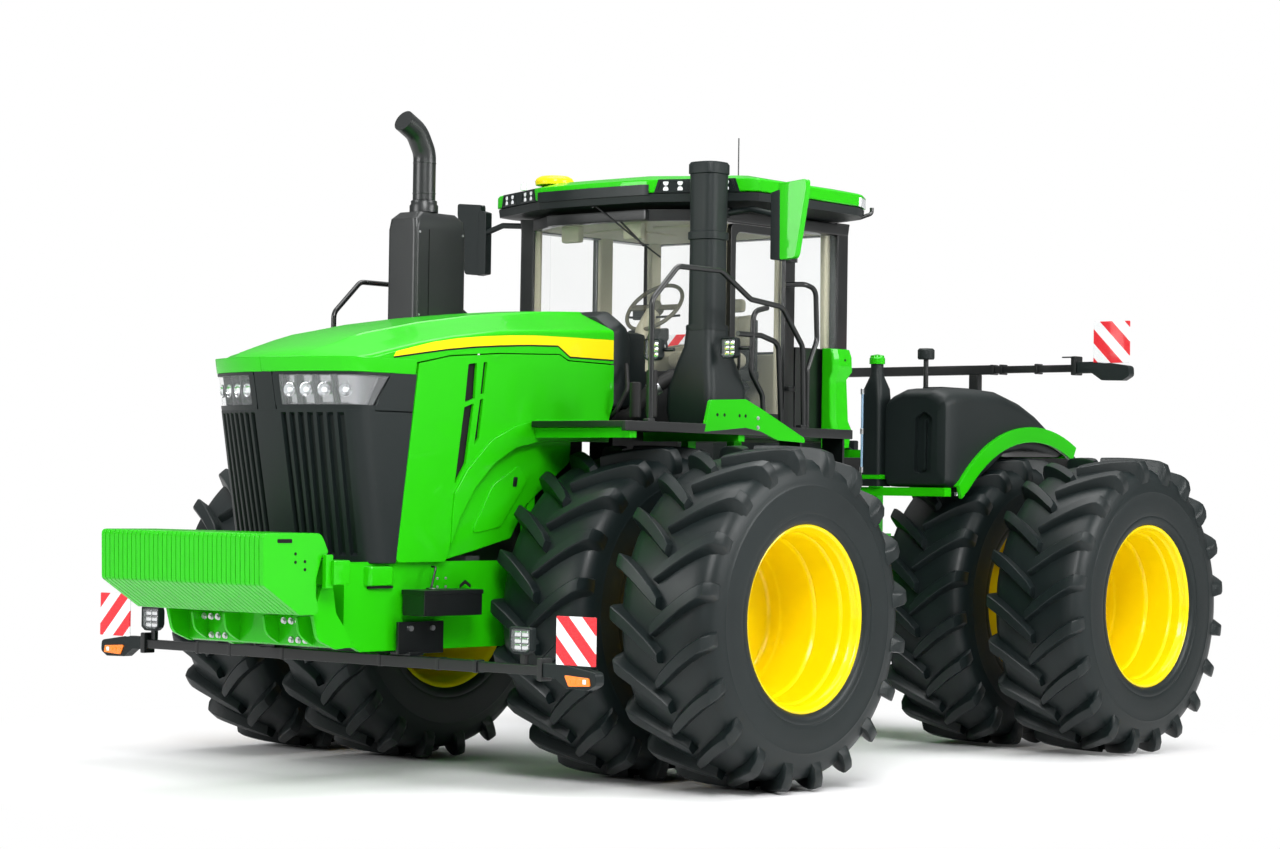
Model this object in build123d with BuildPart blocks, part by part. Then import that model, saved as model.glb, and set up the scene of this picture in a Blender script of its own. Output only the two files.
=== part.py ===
"""Articulated farm tractor on dual wheels, in millimetres: front is -Y, the driver's left is +X."""

from build123d import *
import math
import os

# Driving dimensions of the whole machine
WHEELBASE = 3912
FRONT_OVERHANG = 2894  # front axle to the face of the front weights
REAR_OVERHANG = 1450  # rear axle to the end of the drawbar
LENGTH = FRONT_OVERHANG + WHEELBASE + REAR_OVERHANG
FRONT_AXLE_Y = FRONT_OVERHANG - LENGTH / 2
REAR_AXLE_Y = FRONT_AXLE_Y + WHEELBASE
HINGE_Y = FRONT_AXLE_Y + WHEELBASE / 2
FRONT_Y = -LENGTH / 2
REAR_Y = LENGTH / 2

# Wheels: 710/70R42 duals
TYRE_RADIUS = 1030  # to the tips of the lugs
TYRE_WIDTH = 710
LUG_HEIGHT = 55
LUG_COUNT = 16  # on each half of the tread
LUG_THICKNESS = 66
LUG_SHARE = 0.72  # of the pitch that a lug runs back from the middle to the shoulder
TYRE_SIDES = 16  # the case is drawn many-sided, which keeps its mesh light
RIM_SIDES = 16
BEAD_RADIUS = 533
RIM_LIP = 565
RIM_WALL = 14
INNER_WHEEL_X = 998  # centre of the inner tyre
DUAL_SPACING = 951
OUTER_WHEEL_X = INNER_WHEEL_X + DUAL_SPACING
HUB_RADIUS = 240
INNER_DISH = 190  # the inner rim's disc, outboard of its tyre's middle
OUTER_DISH = 190  # the outer rim's disc, inboard of its tyre's middle
HUB_START_X = INNER_WHEEL_X + 40
HUB_END_X = OUTER_WHEEL_X - 60
SPINDLE_RADIUS = 110
SPINDLE_LENGTH = 260
RUNNING_FIT = 0.05  # radial clearance of pins and shafts

# Frames
CHASSIS_HALF_WIDTH = 560
CHASSIS_PLATE = 30
CHASSIS_BOTTOM = TYRE_RADIUS - 210
CHASSIS_TOP = TYRE_RADIUS + 250
CHASSIS_FRONT_Y = FRONT_AXLE_Y - 2134
AXLE_TUBE_RADIUS = 150
SEAT_GAP = 0.3  # between pieces that only rest against each other

# Articulation joint
HINGE_PIN_RADIUS = 55
HINGE_EAR = 60
KNUCKLE_HALF_HEIGHT = 190
PIVOT_Z = TYRE_RADIUS
TRUNNION_RADIUS = 130
EAR_GAP = 3
EAR_LOW_Z = PIVOT_Z - KNUCKLE_HALF_HEIGHT - EAR_GAP - HINGE_EAR
EAR_HIGH_Z = PIVOT_Z + KNUCKLE_HALF_HEIGHT + EAR_GAP + HINGE_EAR
STEERING_X = 370  # of both steering cylinders at rest
STEERING_EYE_Y = HINGE_Y + 330
STEERING_BASE_Y = HINGE_Y - 760
STEERING_Z = PIVOT_Z - 10
BARREL_RADIUS = 60
BARREL_LENGTH = 640
BARREL_SETBACK = 66  # lets the barrel swing clear of the lugs that hold it
ROD_RADIUS = 32
PIN_RADIUS = 25
EYE_RADIUS = 50
EYE_HALF_HEIGHT = 44

# Hood
HOOD_HALF_WIDTH = 600
HOOD_REAR_Y = HINGE_Y - 1800
HOOD_SHEET = 12
HOOD_BOTTOM_Z = CHASSIS_TOP + 66
COWL_FRONT_Y = HOOD_REAR_Y + 45
HOOD_PIVOT_Y = HOOD_REAR_Y - 15
HOOD_PIVOT_Z = 2880
HOOD_PIN_RADIUS = 12
HOOD_LUG_X = 300
HOOD_LUG = 20

# Cab and platforms
CAB_HALF_WIDTH = 880
CAB_BOTTOM_Z = 2 * TYRE_RADIUS + 60
CAB_FLOOR_Z = CAB_BOTTOM_Z + 60
ROOF_UNDERSIDE_Z = CAB_FLOOR_Z + 1440
ROOF_TOP_Z = ROOF_UNDERSIDE_Z + 230
CAB_FRONT_Y = HINGE_Y - 1330
CAB_REAR_Y = HINGE_Y + 330
DOOR_HINGE_Y = HINGE_Y - 330
DOOR_FRONT_Y = HINGE_Y - 985
DOOR_PIVOT_X = CAB_HALF_WIDTH + 25
DOOR_PIVOT_Y = DOOR_HINGE_Y + 10
DOOR_PIN_RADIUS = 8
DOOR_KNUCKLE = 34
DOOR_HINGE_HEIGHTS = (2420, 3280)
POST = 70
GLASS = 8
DECK_BOTTOM_Z = 2 * TYRE_RADIUS + 95
DECK_Z = DECK_BOTTOM_Z + 45
DECK_EDGE_X = 1400
CORNER_BOX = 130  # how far the box at the cab's corner stands out
LADDER_FRONT_Y = FRONT_AXLE_Y + TYRE_RADIUS + 46
LADDER_WIDTH = 472
TOOLBOX_REAR_Y = FRONT_AXLE_Y - TYRE_RADIUS - 154
RAIL_RADIUS = 17.5

# Light bars
LIGHT_BAR_HALF_WIDTH = 2130
LIGHT_BAR_TUBE = 76
FRONT_BAR_Y = HINGE_Y - 3630
FRONT_BAR_Z = CHASSIS_BOTTOM - 70
REAR_BAR_Y = HINGE_Y + 1950
REAR_BAR_Z = 2690
MARKER_SIZE = 290
MARKER_PLATE = 4

# Rear body
TANK_INNER_X = 770
TANK_OUTER_X = 1300
TANK_BOTTOM_Z = 2 * TYRE_RADIUS - 230
TANK_FRONT_Y = HINGE_Y + 900
TANK_BELLY_Z = 2 * TYRE_RADIUS + 60
TANK_TOP_Z = TANK_BELLY_Z + 410
TANK_CREST_Y = HINGE_Y + 1580
TANK_SLOPE_END_Y = HINGE_Y + 2280
TANK_SLOPE_END_Z = TANK_BELLY_Z + 140
FENDER_OUTER = TYRE_RADIUS + 220
FENDER_INNER = TYRE_RADIUS + 100
DRAWBAR_PIN_RADIUS = 26
DRAWBAR_TOP_Z = CHASSIS_BOTTOM - 100

# Front weights
WEIGHT_COUNT = 36
WEIGHT_HALF_WIDTH = 700
WEIGHT_SEAM = 4

os.makedirs("parts", exist_ok=True)


def save(piece, name):
    """Label a finished piece and write its STEP file."""
    piece.part.label = name
    export_step(piece.part, f"parts/{name}.step")


def block(x, y, z, mode=Mode.ADD):
    """Add or cut a block given its span along each axis."""
    centre = tuple((low + high) / 2 for low, high in (x, y, z))
    with Locations(centre):
        Box(*[high - low for low, high in (x, y, z)], mode=mode)


def side_plate(points, x, mode=Mode.ADD):
    """Extrude an outline of (Y, Z) points over a span of X."""
    with BuildSketch(Plane.YZ.offset(x[0])) as outline:
        with BuildLine():
            Polyline(*points, close=True)
        make_face()
    extrude(outline.sketch, amount=x[1] - x[0], mode=mode)


def plan_plate(points, z, mode=Mode.ADD):
    """Extrude an outline of (X, Y) points over a span of Z."""
    with BuildSketch(Plane.XY.offset(z[0])) as outline:
        with BuildLine():
            Polyline(*points, close=True)
        make_face()
    extrude(outline.sketch, amount=z[1] - z[0], mode=mode)


def tube(points, radius, bend):
    """Sweep a round bar along straight runs with rounded corners."""
    with BuildLine() as route:
        if len(points) > 2:
            FilletPolyline(*points, radius=bend)
        else:
            Line(*points)
    with BuildSketch(Plane(origin=route.line @ 0, z_dir=route.line % 0)) as section:
        Circle(radius)
    sweep(section.sketch, path=route.line)


def bar(start, end, radius, mode=Mode.ADD):
    """Add or cut a round bar between two points."""
    run = Vector(*end) - Vector(*start)
    with BuildSketch(Plane(origin=start, z_dir=run)) as section:
        Circle(radius)
    extrude(section.sketch, amount=run.length, mode=mode)


def ring_of(profile, sides):
    """A many-sided ring about the X axis from a closed outline of (X, radius) points."""
    half_turn = math.radians(180 / sides)
    reach = max(radius for _, radius in profile) * math.tan(half_turn)
    with BuildPart() as sector:
        with BuildSketch(Plane.XZ):
            with BuildLine():
                Polyline(*profile, close=True)
            make_face()
        extrude(amount=reach + 1, both=True)
        for side in (-1, 1):
            cut = (0, side * math.cos(half_turn), -math.sin(half_turn))
            split(bisect_by=Plane(origin=(0, 0, 0), x_dir=(1, 0, 0), z_dir=cut), keep=Keep.BOTTOM)
    with BuildPart() as whole:
        for number in range(sides):
            add(sector.part.rotate(Axis.X, number * 360 / sides))
    return whole.part


def mirrored(points):
    """Close an outline of (X, Y) points by its mirror image in X."""
    return points + [(-x, y) for x, y in reversed(points)]


# Wheels -----------------------------------------------------------------------------------------


def make_tyre():
    """One tyre about the X axis: its case, with a V of staggered lugs."""
    half = TYRE_WIDTH / 2
    tread = TYRE_RADIUS - LUG_HEIGHT
    profile = [(half - 105, BEAD_RADIUS), (half, BEAD_RADIUS + 225), (half - 35, tread)]
    profile += [(-x, radius) for x, radius in reversed(profile)]
    pitch = 360 / LUG_COUNT
    run = math.tan(math.radians(LUG_SHARE * pitch)) * tread
    with BuildPart() as tyre:
        add(ring_of(profile, TYRE_SIDES))
        for side, start in ((1, 0), (-1, pitch / 2)):
            end_x = side * (half - 36)
            plan = [
                (-2 * side, (LUG_THICKNESS - run) / 2),
                (-2 * side, (-LUG_THICKNESS - run) / 2),
                (end_x, run / 2 - LUG_THICKNESS * 0.3),
                (end_x, run / 2 + LUG_THICKNESS * 0.6),
            ]
            farthest = max(abs(y) for _, y in plan)
            with BuildSketch(Plane.XY.offset(tread - 40)):
                with BuildLine():
                    Polyline(*plan, close=True)
                make_face()
            top = math.sqrt(TYRE_RADIUS**2 - farthest**2)
            lug = extrude(amount=top - (tread - 40), mode=Mode.PRIVATE)
            for number in range(LUG_COUNT):
                add(lug.rotate(Axis.X, start + number * pitch))
    return tyre.part


def make_rim(dish_x):
    """One rim about the X axis: its seat for the tyre and a dished disc reaching dish_x."""
    lip_x = TYRE_WIDTH / 2 - 61
    seat = BEAD_RADIUS * math.cos(math.pi / RIM_SIDES) - SEAT_GAP
    slope = 1 if dish_x > 0 else -1
    profile = [
        (-lip_x, RIM_LIP),
        (-lip_x, seat - RIM_WALL),
        (dish_x - slope * 90, seat - RIM_WALL),
        (dish_x - slope * 20, HUB_RADIUS - 30),
        (dish_x, HUB_RADIUS - 30),
        (dish_x - slope * 70, seat - RIM_WALL - 1),
        (lip_x, seat - RIM_WALL),
        (lip_x, RIM_LIP),
        (lip_x - 24, RIM_LIP),
        (lip_x - 30, seat),
        (30 - lip_x, seat),
        (24 - lip_x, RIM_LIP),
    ]
    if slope < 0:
        order = [0, 1, 5, 4, 3, 2, 6, 7, 8, 9, 10, 11]
        profile = [profile[index] for index in order]
    return ring_of(profile, RIM_SIDES)


def save_wheels(tyre):
    """Dual tyres and rims for the four corners, with the hub drum that joins each pair."""
    corners = (
        # name, side, axle's Y
        ("front_left", 1, FRONT_AXLE_Y),
        ("front_right", -1, FRONT_AXLE_Y),
        ("rear_left", 1, REAR_AXLE_Y),
        ("rear_right", -1, REAR_AXLE_Y),
    )
    inner_rim = make_rim(INNER_DISH)
    outer_rim = make_rim(-OUTER_DISH)
    for name, side, axle_y in corners:
        with BuildPart() as tyres:
            with Locations(*[(side * x, axle_y, TYRE_RADIUS) for x in (INNER_WHEEL_X, OUTER_WHEEL_X)]):
                add(tyre)
        save(tyres, f"tyres_{name}")
        with BuildPart() as rims:
            for rim, wheel_x in ((inner_rim, INNER_WHEEL_X), (outer_rim, OUTER_WHEEL_X)):
                shape = rim if side > 0 else rim.mirror(Plane.YZ)
                with Locations((side * wheel_x, axle_y, TYRE_RADIUS)):
                    add(shape)
            bar((side * HUB_START_X, axle_y, TYRE_RADIUS), (side * HUB_END_X, axle_y, TYRE_RADIUS), HUB_RADIUS)
            bar(
                (side * HUB_START_X, axle_y, TYRE_RADIUS),
                (side * (HUB_START_X + SPINDLE_LENGTH), axle_y, TYRE_RADIUS),
                SPINDLE_RADIUS + RUNNING_FIT,
                Mode.SUBTRACT,
            )
        save(rims, f"rims_{name}")


def save_axle(name, axle_y):
    """Axle housing: a round differential case between two tubes that end in the hubs' spindles."""
    drum = AXLE_TUBE_RADIUS + 110
    with BuildPart() as axle:
        for reach, radius in (
            (HUB_START_X + SPINDLE_LENGTH - 4, SPINDLE_RADIUS),
            (HUB_START_X - 4, AXLE_TUBE_RADIUS),
        ):
            bar((-reach, axle_y, TYRE_RADIUS), (reach, axle_y, TYRE_RADIUS), radius)
        bar((-230, axle_y, TYRE_RADIUS), (230, axle_y, TYRE_RADIUS), drum)
        bar((0, axle_y - 420, TYRE_RADIUS), (0, axle_y + 420, TYRE_RADIUS), 95)
    save(axle, name)


# Frames -----------------------------------------------------------------------------------------


def save_front_chassis():
    """Front frame: side plates, bulkheads, cab and deck supports, and the hinge's two ears."""
    half = CHASSIS_HALF_WIDTH
    rear_y = HINGE_Y - 420
    bulkhead_y = HINGE_Y - 840
    with BuildPart() as chassis:
        outline = [
            (CHASSIS_FRONT_Y, CHASSIS_TOP + 60),
            (CHASSIS_FRONT_Y, CHASSIS_BOTTOM + 60),
            (CHASSIS_FRONT_Y + 140, CHASSIS_BOTTOM),
            (rear_y, CHASSIS_BOTTOM),
            (rear_y, CHASSIS_TOP + 120),
            (CHASSIS_FRONT_Y + 1300, CHASSIS_TOP + 60),
        ]
        for side in (-1, 1):
            side_plate(outline, sorted((side * (half - CHASSIS_PLATE), side * half)))
        for y in (CHASSIS_FRONT_Y, FRONT_AXLE_Y - 640, FRONT_AXLE_Y + 480):
            block((-half, half), (y, y + 40), (CHASSIS_BOTTOM + 60, CHASSIS_TOP))
        block((-half, half), (bulkhead_y - 40, bulkhead_y), (EAR_LOW_Z, EAR_HIGH_Z))
        bar(
            (-half, FRONT_AXLE_Y, TYRE_RADIUS),
            (half, FRONT_AXLE_Y, TYRE_RADIUS),
            AXLE_TUBE_RADIUS + SEAT_GAP,
            Mode.SUBTRACT,
        )
        for low in (EAR_LOW_Z, EAR_HIGH_Z - HINGE_EAR):
            ear = [(-300, bulkhead_y), (-120, HINGE_Y + 90), (120, HINGE_Y + 90), (300, bulkhead_y)]
            plan_plate(ear, (low, low + HINGE_EAR))
            bar(
                (0, HINGE_Y, low),
                (0, HINGE_Y, low + HINGE_EAR),
                HINGE_PIN_RADIUS + RUNNING_FIT,
                Mode.SUBTRACT,
            )
        for side in (-1, 1):
            lug_span = sorted((side * (STEERING_X - 50), side * (STEERING_X + 50)))
            for low in (STEERING_Z - EYE_HALF_HEIGHT - 23, STEERING_Z + EYE_HALF_HEIGHT + 3):
                block(lug_span, (bulkhead_y, STEERING_BASE_Y + 50), (low, low + 20))
            bar(
                (side * STEERING_X, STEERING_BASE_Y, EAR_LOW_Z),
                (side * STEERING_X, STEERING_BASE_Y, EAR_HIGH_Z),
                PIN_RADIUS + RUNNING_FIT,
                Mode.SUBTRACT,
            )
            post = sorted((side * (half - 60), side * half))
            for y in (HINGE_Y - 1000, HINGE_Y - 520):
                block(post, (y, y + 80), (CHASSIS_TOP, CAB_BOTTOM_Z - SEAT_GAP))
            arm = sorted((side * (half - 60), side * (DECK_EDGE_X - 20)))
            for y in (HINGE_Y - 2540, HINGE_Y - 1500):
                block(post, (y, y + 60), (CHASSIS_TOP, DECK_BOTTOM_Z - SEAT_GAP))
                block(arm, (y, y + 60), (DECK_BOTTOM_Z - 60, DECK_BOTTOM_Z - SEAT_GAP))
    save(chassis, "front_chassis")


def save_rear_chassis():
    """Rear frame: side plates, bulkheads, the trunnion's bearing tube and the tank saddles."""
    half = CHASSIS_HALF_WIDTH - 110
    front_y = HINGE_Y + 620
    rear_y = REAR_AXLE_Y + 700
    trunnion = ((0, front_y - 60, PIVOT_Z), (0, front_y + 420, PIVOT_Z))
    with BuildPart() as chassis:
        outline = [
            (front_y, CHASSIS_TOP + 60),
            (front_y, CHASSIS_BOTTOM),
            (rear_y - 200, CHASSIS_BOTTOM - 100),
            (rear_y, CHASSIS_BOTTOM),
            (rear_y, CHASSIS_TOP + 200),
            (front_y + 400, CHASSIS_TOP + 200),
        ]
        for side in (-1, 1):
            side_plate(outline, sorted((side * (half - CHASSIS_PLATE), side * half)))
        for y in (front_y, front_y + 380, REAR_AXLE_Y - 480, REAR_AXLE_Y + 440, rear_y - 40):
            block((-half, half), (y, y + 40), (CHASSIS_BOTTOM, CHASSIS_TOP))
        block((-half, half), (REAR_AXLE_Y + 440, REAR_AXLE_Y + 480), (DRAWBAR_TOP_Z, CHASSIS_BOTTOM))
        bar(*trunnion, TRUNNION_RADIUS + 45)
        bar(*trunnion, TRUNNION_RADIUS + RUNNING_FIT, Mode.SUBTRACT)
        bar(
            (-half, REAR_AXLE_Y, TYRE_RADIUS),
            (half, REAR_AXLE_Y, TYRE_RADIUS),
            AXLE_TUBE_RADIUS + SEAT_GAP,
            Mode.SUBTRACT,
        )
        for side in (-1, 1):
            post = sorted((side * (half - 80), side * half))
            arm = sorted((side * (half - 80), side * (TANK_OUTER_X - 20)))
            for y, top in ((TANK_FRONT_Y + 5, TANK_BOTTOM_Z), (REAR_AXLE_Y + 440, TANK_BELLY_Z)):
                block(post, (y, y + 80), (CHASSIS_TOP, top - SEAT_GAP))
                block(arm, (y, y + 80), (top - 60, top - SEAT_GAP))
    save(chassis, "rear_chassis")


def save_knuckle():
    """Knuckle between the frames: an upright pin, the steering arms and the trunnion behind."""
    low = PIVOT_Z - KNUCKLE_HALF_HEIGHT
    high = PIVOT_Z + KNUCKLE_HALF_HEIGHT
    pin_reach = EAR_GAP + HINGE_EAR + 25
    reach = STEERING_X + 70
    with BuildPart() as knuckle:
        bar((0, HINGE_Y, low), (0, HINGE_Y, high), 120)
        bar((0, HINGE_Y, low - pin_reach), (0, HINGE_Y, high + pin_reach), HINGE_PIN_RADIUS)
        bar((0, HINGE_Y, PIVOT_Z), (0, HINGE_Y + 1030, PIVOT_Z), TRUNNION_RADIUS)
        for level in (STEERING_Z - EYE_HALF_HEIGHT - 36, STEERING_Z + EYE_HALF_HEIGHT + 6):
            block((-reach, reach), (STEERING_EYE_Y - 70, STEERING_EYE_Y + 70), (level, level + 30))
    save(knuckle, "center_knuckle")


def save_cylinders():
    """Steering cylinders: a barrel pinned to the front frame and a rod to the knuckle's arm."""
    for name, side in (("left", 1), ("right", -1)):
        x = side * STEERING_X
        mouth_y = STEERING_BASE_Y + BARREL_LENGTH
        pin_reach = EYE_HALF_HEIGHT + 40
        with BuildPart() as barrel:
            bar(
                (x, STEERING_BASE_Y, STEERING_Z - EYE_HALF_HEIGHT),
                (x, STEERING_BASE_Y, STEERING_Z + EYE_HALF_HEIGHT),
                EYE_RADIUS,
            )
            back_y = STEERING_BASE_Y + BARREL_SETBACK
            bar((x, back_y, STEERING_Z), (x, mouth_y, STEERING_Z), BARREL_RADIUS)
            bar((x, STEERING_BASE_Y, STEERING_Z), (x, back_y + 8, STEERING_Z), 40)
            bar(
                (x, back_y + 10, STEERING_Z),
                (x, mouth_y, STEERING_Z),
                ROD_RADIUS + RUNNING_FIT,
                Mode.SUBTRACT,
            )
            bar(
                (x, STEERING_BASE_Y, STEERING_Z - pin_reach),
                (x, STEERING_BASE_Y, STEERING_Z + pin_reach),
                PIN_RADIUS,
            )
        save(barrel, f"steering_barrel_{name}")
        with BuildPart() as rod:
            bar((x, back_y + 259, STEERING_Z), (x, STEERING_EYE_Y, STEERING_Z), ROD_RADIUS)
            bar(
                (x, STEERING_EYE_Y, STEERING_Z - EYE_HALF_HEIGHT),
                (x, STEERING_EYE_Y, STEERING_Z + EYE_HALF_HEIGHT),
                EYE_RADIUS,
            )
        save(rod, f"steering_rod_{name}")


def save_engine():
    """The engine as one plain block at its place and size."""
    with BuildPart() as engine:
        low = TYRE_RADIUS + AXLE_TUBE_RADIUS + 130
        block((-390, 390), (FRONT_AXLE_Y - 1300, FRONT_AXLE_Y + 100), (low, CAB_BOTTOM_Z - 20))
        for side in (-1, 1):
            foot = sorted((side * 390, side * (CHASSIS_HALF_WIDTH - CHASSIS_PLATE - SEAT_GAP)))
            for y in (FRONT_AXLE_Y - 1100, FRONT_AXLE_Y - 150):
                block(foot, (y, y + 120), (low, low + 60))
    save(engine, "engine_block")


def save_weights():
    """Carrier at the nose, with its row of hung weights."""
    pitch = 2 * WEIGHT_HALF_WIDTH / WEIGHT_COUNT
    rear = CHASSIS_FRONT_Y - SEAT_GAP
    with BuildPart() as carrier:
        half = WEIGHT_HALF_WIDTH - 60
        block((-half, half), (FRONT_Y + 400, FRONT_Y + 560), (1215, 1375))
        block((-450, 450), (FRONT_Y + 560, rear), (1000, 1290))
        block((-520, 520), (FRONT_Y + 400, rear), (CHASSIS_BOTTOM + 80, 1000))
    save(carrier, "weight_bracket")
    with BuildPart() as weights:
        profile = [
            (FRONT_Y, 1490),
            (FRONT_Y, 1215),
            (FRONT_Y + 300, 1045),
            (FRONT_Y + 340, 1045),
            (FRONT_Y + 395, 1210),
            (FRONT_Y + 395, 1375 + SEAT_GAP),
            (FRONT_Y + 575, 1375 + SEAT_GAP),
            (FRONT_Y + 575, 1300),
            (FRONT_Y + 600, 1300),
            (FRONT_Y + 600, 1490),
            (FRONT_Y + 570, 1515),
            (FRONT_Y + 30, 1515),
        ]
        side_plate(profile, (-WEIGHT_HALF_WIDTH, WEIGHT_HALF_WIDTH))
        for number in range(1, WEIGHT_COUNT):
            x = -WEIGHT_HALF_WIDTH + number * pitch
            seam = (x - WEIGHT_SEAM / 2, x + WEIGHT_SEAM / 2)
            block(seam, (FRONT_Y - 5, FRONT_Y + 120), (1200, 1530), Mode.SUBTRACT)
    save(weights, "front_weights")


# Hood -------------------------------------------------------------------------------------------


def save_hood():
    """Hood shell, open below, the black front grille and its two banks of lamps."""
    half = HOOD_HALF_WIDTH
    crest = [
        (HINGE_Y - 4080, 2455),
        (HINGE_Y - 3930, 2620),
        (HINGE_Y - 3240, 2760),
        (HINGE_Y - 2055, 2905),
        (HOOD_REAR_Y, 2930),
    ]
    lower = [
        (HOOD_REAR_Y, 2215),
        (HINGE_Y - 2687, 2175),
        (HINGE_Y - 3231, 1736),
        (HINGE_Y - 3281, HOOD_BOTTOM_Z),
        (HINGE_Y - 3713, HOOD_BOTTOM_Z),
        (HINGE_Y - 3560, 2500),
    ]
    with BuildPart() as shell:
        side_plate(crest + lower, (-half, half))
        cavity = [
            (HINGE_Y - 3550, 2480),
            (HINGE_Y - 3200, 2720),
            (HINGE_Y - 2055, 2870),
            (HOOD_REAR_Y + 10, 2895),
            (HOOD_REAR_Y + 10, HOOD_BOTTOM_Z - 20),
            (HINGE_Y - 3800, HOOD_BOTTOM_Z - 20),
        ]
        side_plate(cavity, (HOOD_SHEET - half, half - HOOD_SHEET), Mode.SUBTRACT)
        for side in (-1, 1):
            lug = sorted((side * HOOD_LUG_X, side * (HOOD_LUG_X + HOOD_LUG)))
            block(lug, (HOOD_PIVOT_Y - 20, HOOD_PIVOT_Y + 14), (HOOD_PIVOT_Z - 20, 2900))
            slot = sorted((side * (HOOD_LUG_X + HOOD_LUG), side * (HOOD_LUG_X + 2 * HOOD_LUG + 6)))
            block(slot, (HOOD_PIVOT_Y - 35, HOOD_REAR_Y + 5), (HOOD_PIVOT_Z - 30, 2960), Mode.SUBTRACT)
        axis = ((-half / 1.5, HOOD_PIVOT_Y, HOOD_PIVOT_Z), (half / 1.5, HOOD_PIVOT_Y, HOOD_PIVOT_Z))
        bar(*axis, HOOD_PIN_RADIUS + RUNNING_FIT, Mode.SUBTRACT)
    save(shell, "hood_shell")
    with BuildPart() as grille:
        outline = [
            (HINGE_Y - 4080, 2450),
            (HINGE_Y - 4070, 1520),
            (HINGE_Y - 3920, HOOD_BOTTOM_Z),
            (HINGE_Y - 3714, HOOD_BOTTOM_Z),
            (HINGE_Y - 3563, 2485),
        ]
        side_plate(outline, (-half, half))
    save(grille, "grille")
    with BuildPart() as lamps:
        for side in (-1, 1):
            span = sorted((side * 110, side * 560))
            block(span, (HINGE_Y - 4110, HINGE_Y - 4080 - SEAT_GAP), (2210, 2420))
    save(lamps, "headlights")


# Exhaust and intake -----------------------------------------------------------------------------


def save_stacks():
    """Exhaust box and pipe on the right, air intake on the left, cowl between hood and cab."""
    with BuildPart() as box:
        block((-900, -630), (HINGE_Y - 2360, HINGE_Y - 1880), (DECK_Z, 3580))
        chamfer(box.edges().filter_by(Axis.Z), 45)
    save(box, "exhaust_box")
    with BuildPart() as pipe:
        x, y = -750, HINGE_Y - 2170
        bar((x, y, 3580), (x, y, 3630), 95)
        with BuildLine() as route:
            Polyline((x, y, 3630), (x, y, 3980), (x, y - 60, 4070), (x, y - 260, 4110))
        with BuildSketch(Plane.XY.offset(3630)) as section:
            with Locations((x, y)):
                Circle(75)
        sweep(section.sketch, path=route.line, transition=Transition.RIGHT)
    save(pipe, "exhaust_pipe")
    with BuildPart() as intake:
        x, y = 1000, HINGE_Y - 1360
        bar((x, y, DECK_Z), (x, y, DECK_Z + 180), 200)
        bar((x, y, DECK_Z + 180), (x, y, 3400), 115)
        bar((x, y, 3400), (x, y, 3880), 135)
    save(intake, "air_intake")
    with BuildPart() as cowl:
        block((-590, 590), (COWL_FRONT_Y, CAB_FRONT_Y - 40), (DECK_BOTTOM_Z, 2890))
        for side in (-1, 1):
            ear = (side * (HOOD_LUG_X + HOOD_LUG + 3), side * (HOOD_LUG_X + 2 * HOOD_LUG + 3))
            block(sorted(ear), (HOOD_PIVOT_Y - 18, COWL_FRONT_Y), (HOOD_PIVOT_Z - 16, 2889))
            pin = (side * (HOOD_LUG_X - 5), HOOD_PIVOT_Y, HOOD_PIVOT_Z)
            bar(pin, (ear[1], HOOD_PIVOT_Y, HOOD_PIVOT_Z), HOOD_PIN_RADIUS)
    save(cowl, "cowl")


# Cab --------------------------------------------------------------------------------------------

CAB_CORNER = (440, CAB_FRONT_Y)
CAB_SHOULDER = (CAB_HALF_WIDTH, HINGE_Y - 1050)
CAB_BACK = (CAB_HALF_WIDTH, CAB_REAR_Y)

def strip(start, end, bare, depth):
    """Plan outline along a wall, clear of its ends by bare, over a span of depth inwards."""
    run = Vector(end[0] - start[0], end[1] - start[1])
    along = run.normalized()
    inward = Vector(-along.Y, along.X)
    first = Vector(*start) + along * bare
    last = Vector(*end) - along * bare
    near, far = depth
    corners = (first + inward * near, last + inward * near, last + inward * far, first + inward * far)
    return [(corner.X, corner.Y) for corner in corners]


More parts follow.
